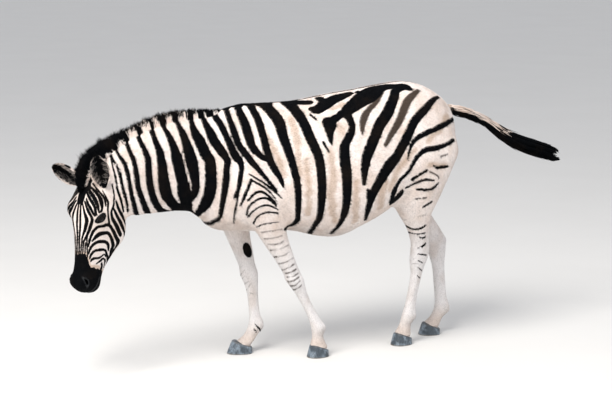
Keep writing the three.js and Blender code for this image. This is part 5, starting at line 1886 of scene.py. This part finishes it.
# %% Hoof lofts
HOOF = np.array([[80, 38, 0.56, 52], [50, 43, 0.75, 52], [0, 50, 1, 52]])  # z, half, share of toe, back
TOE_LENGTH = {"foreleg_left": 64, "foreleg_right": 82, "hindleg_left": 64, "hindleg_right": 66}
HOOF_SLOPE = math.tan(math.radians(20))
HOOF_ROUND, HOOF_RINGS = 72, 30
HOOF_TOP = 50.0  # level of its upper edge at the middle
GROWTH_RINGS = 9


def hoof_outline(name, z, angle):
    """Outwards and forwards at an angle round the hoof, at a level: a squared-off oval."""
    z = np.clip(z, 0, 80)
    half, toe, back = [np.interp(z, HOOF[::-1, 0], HOOF[::-1, c]) for c in (1, 2, 3)]
    toe = toe * TOE_LENGTH[name]
    c, s = np.cos(angle), np.sin(angle)
    power = np.where(s > 0, 2.2, 2.6)
    reach = np.where(s > 0, toe, back)
    return np.sign(c) * half * np.abs(c) ** (2 / power), np.sign(s) * reach * np.abs(s) ** (2 / power)


def hoof(name):
    """Rings at shares of the height up to the upper edge, z = top + slope * forwards. Two rings before
    them hollow the sole a little, and one after them closes the top."""
    angle = np.linspace(0, 2 * np.pi, HOOF_ROUND, endpoint=False)
    top = np.full(HOOF_ROUND, HOOF_TOP)
    for _ in range(8):
        _, ahead = hoof_outline(name, top, angle)
        top = HOOF_TOP + HOOF_SLOPE * ahead
    share = np.linspace(0, 1, HOOF_RINGS)[:, None]
    z = share * top
    out, ahead = hoof_outline(name, z, angle + 0 * z)
    ring = 1 - 0.006 * (1 - np.cos(share * 2 * np.pi * GROWTH_RINGS)) * (1 - share)
    ring = ring - 0.03 * np.clip(share - 0.93, 0, 1) / 0.07 - 0.02 * np.clip(0.05 - share, 0, 1) / 0.05
    out, ahead = out * ring, ahead * ring
    rows = [(out[:1] * 0.5, ahead[:1] * 0.5, z[:1] + 5), (out[:1] * 0.88, ahead[:1] * 0.88, z[:1] + 1),
            (out, ahead, z), (out[-1:] * 0.8, ahead[-1:] * 0.8, z[-1:] + 3)]
    out, ahead, z = [np.concatenate([r[k] for r in rows]) for k in range(3)]
    x, y = LEGS[name][-1, 1:3]
    turn = HAND[name] * toe_turn(np.zeros(1))[0]
    dx = (out * math.cos(turn)) * HAND[name] + ahead * math.sin(turn)
    dy = out * HAND[name] * math.sin(turn) - ahead * math.cos(turn)
    p = np.stack([HAND[name] * x + dx, y + dy, z], -1).reshape(-1, 3)
    found = outwards(p - p.mean(0), tube_faces(len(out), HOOF_ROUND))
    level = np.concatenate([[0, 0], np.linspace(0, 1, HOOF_RINGS), [1]])
    marks = {"level": np.repeat(level, HOOF_ROUND), "round": np.tile(angle, len(level)),
             "front": np.tile(np.sin(angle), len(level))}
    made = piece("horn_" + name, p, *flat_faces(found), marks)
    made.data.materials.append(horn_material)
    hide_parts("hoof_" + name)
    return made


print("hooves are", HOOF[-1, 1] * 2, "millimetres wide")

# %% Horn
g = Graph("horn")
place = g.object_place()
lines = g.noise(g.stretched(place, (420.0, 420.0, 14.0)), 1.0, 2.0)
rings = g.math("SINE", g.scaled(g.value("level"), 56.0, g.math("MULTIPLY", g.noise(place, 30.0), 5.0)))
# dark slate mottled with paler blue-grey: the pale patches are painted highlights
colour = g.mix(g.span(g.noise(place, 22.0, 4.0), 0.42, 0.62), (0.05, 0.068, 0.085, 1), (0.22, 0.27, 0.32, 1))
colour = g.mix(g.span(lines, 0.35, 0.75, 0.0, 0.7), colour, (0.02, 0.025, 0.032, 1))
colour = g.mix(g.span(g.value("level"), 0.86, 1.0, 0.0, 0.6), colour, (0.06, 0.055, 0.05, 1))
colour = g.mix(g.span(g.value("level"), 0.0, 0.14, 0.55, 0.0), colour, (0.24, 0.19, 0.13, 1))
horn_bump = g.bump(0.4, 0.001, g.scaled(rings, 0.35, lines))
horn_material = g.finish({"Base Color": colour, "Roughness": 0.42}, horn_bump)
hooves = [hoof(name) for name in LEGS]
print("hooves", [len(h.data.polygons) for h in hooves])

# %% [markdown]
# ## Floor, light and camera
# A pale floor that runs far behind, one large soft lamp high on the camera's left, a weaker one
# opposite, and an even sky. The camera is a long lens ten metres away.

# %% Floor and light
FLOOR_HALF, FLOOR_TONE, FLOOR_SHADE = 90.0, (0.72, 0.71, 0.69, 1), (0.68, 0.67, 0.65, 1)
KEY_POWER, FILL_POWER, SKY_STRENGTH, SKY_TONE = 820, 80, 0.74, (0.93, 0.95, 1.0, 1)
HEART = np.array([0, -0.1, 0.8])  # what the lamps are aimed at
floor_mesh = bpy.data.meshes.new("floor")
floor_corners = [(x * FLOOR_HALF, y * FLOOR_HALF, 0) for x, y in ((-1, -1), (1, -1), (1, 1), (-1, 1))]
floor_mesh.from_pydata(floor_corners, [], [(0, 1, 2, 3)])
floor = bpy.data.objects.new("floor", floor_mesh)
bpy.context.scene.collection.objects.link(floor)
g = Graph("floor")
mottled = g.mix(g.noise(g.object_place(), 1.5), FLOOR_TONE, FLOOR_SHADE)
floor_mesh.materials.append(g.finish({"Base Color": mottled, "Roughness": 0.9}))
floor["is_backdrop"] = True


def turned(place, ahead):
    """A matrix that looks along `ahead` with its top as near to upright as that allows."""
    ahead = unit(ahead)
    right = unit(np.cross(ahead, UPRIGHT))
    axes = np.stack([right, np.cross(right, ahead), -ahead, place], 1)
    return Matrix([*axes.tolist(), [0, 0, 0, 1]])


def lamp(name, place, aim, size, power, tone):
    """An area lamp that points at `aim`."""
    data = bpy.data.lights.new(name, "AREA")
    data.size, data.energy, data.color = size, power, tone
    made = bpy.data.objects.new(name, data)
    bpy.context.scene.collection.objects.link(made)
    made.matrix_world = turned(np.array(place, float), np.array(aim, float) - place)
    made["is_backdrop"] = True


key_place = HEART - LEVEL_AHEAD * 4.5 - CAMERA_RIGHT * 2.5 + UPRIGHT * 6.0
fill_place = HEART - LEVEL_AHEAD * 5.0 + CAMERA_RIGHT * 5.0 + UPRIGHT * 2.0
lamp("key", key_place, HEART, 4.0, KEY_POWER, (1, 0.97, 0.93))
lamp("fill", fill_place, HEART, 5.0, FILL_POWER, (0.94, 0.97, 1))
world = bpy.data.worlds.new("studio")
bpy.context.scene.world = world
world.use_nodes = True
sky = world.node_tree.nodes["Background"]
sky.inputs["Color"].default_value = SKY_TONE
sky.inputs["Strength"].default_value = SKY_STRENGTH
bpy.context.scene.view_settings.view_transform = "Standard"
print("lamps", [lamp_data.name for lamp_data in bpy.data.lights])

# %% Camera
data = bpy.data.cameras.new("camera")
data.sensor_width = 36.0
data.lens = LENS_PIXELS / FRAME_WIDTH * data.sensor_width
data.clip_end = 500
camera = bpy.data.objects.new("camera", data)
bpy.context.scene.collection.objects.link(camera)
camera.matrix_world = turned(to_frame(CAMERA_AT), CAMERA_AHEAD)
bpy.context.scene.camera = camera
print("lens", round(data.lens, 1), "camera", [round(v, 3) for v in camera.location])

# %% [markdown]
# ## Size
# The finished animal's box, printed beside the solids' box. The finished animal has to
# fill the same box as the solids.

# %% Both boxes
visual_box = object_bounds()
boxes = {"cad": [list(map(float, c)) for c in cad_box], "visual": [list(map(float, c)) for c in visual_box]}
print("cad", np.round(boxes["cad"], 3).tolist(), "visual", np.round(boxes["visual"], 3).tolist())
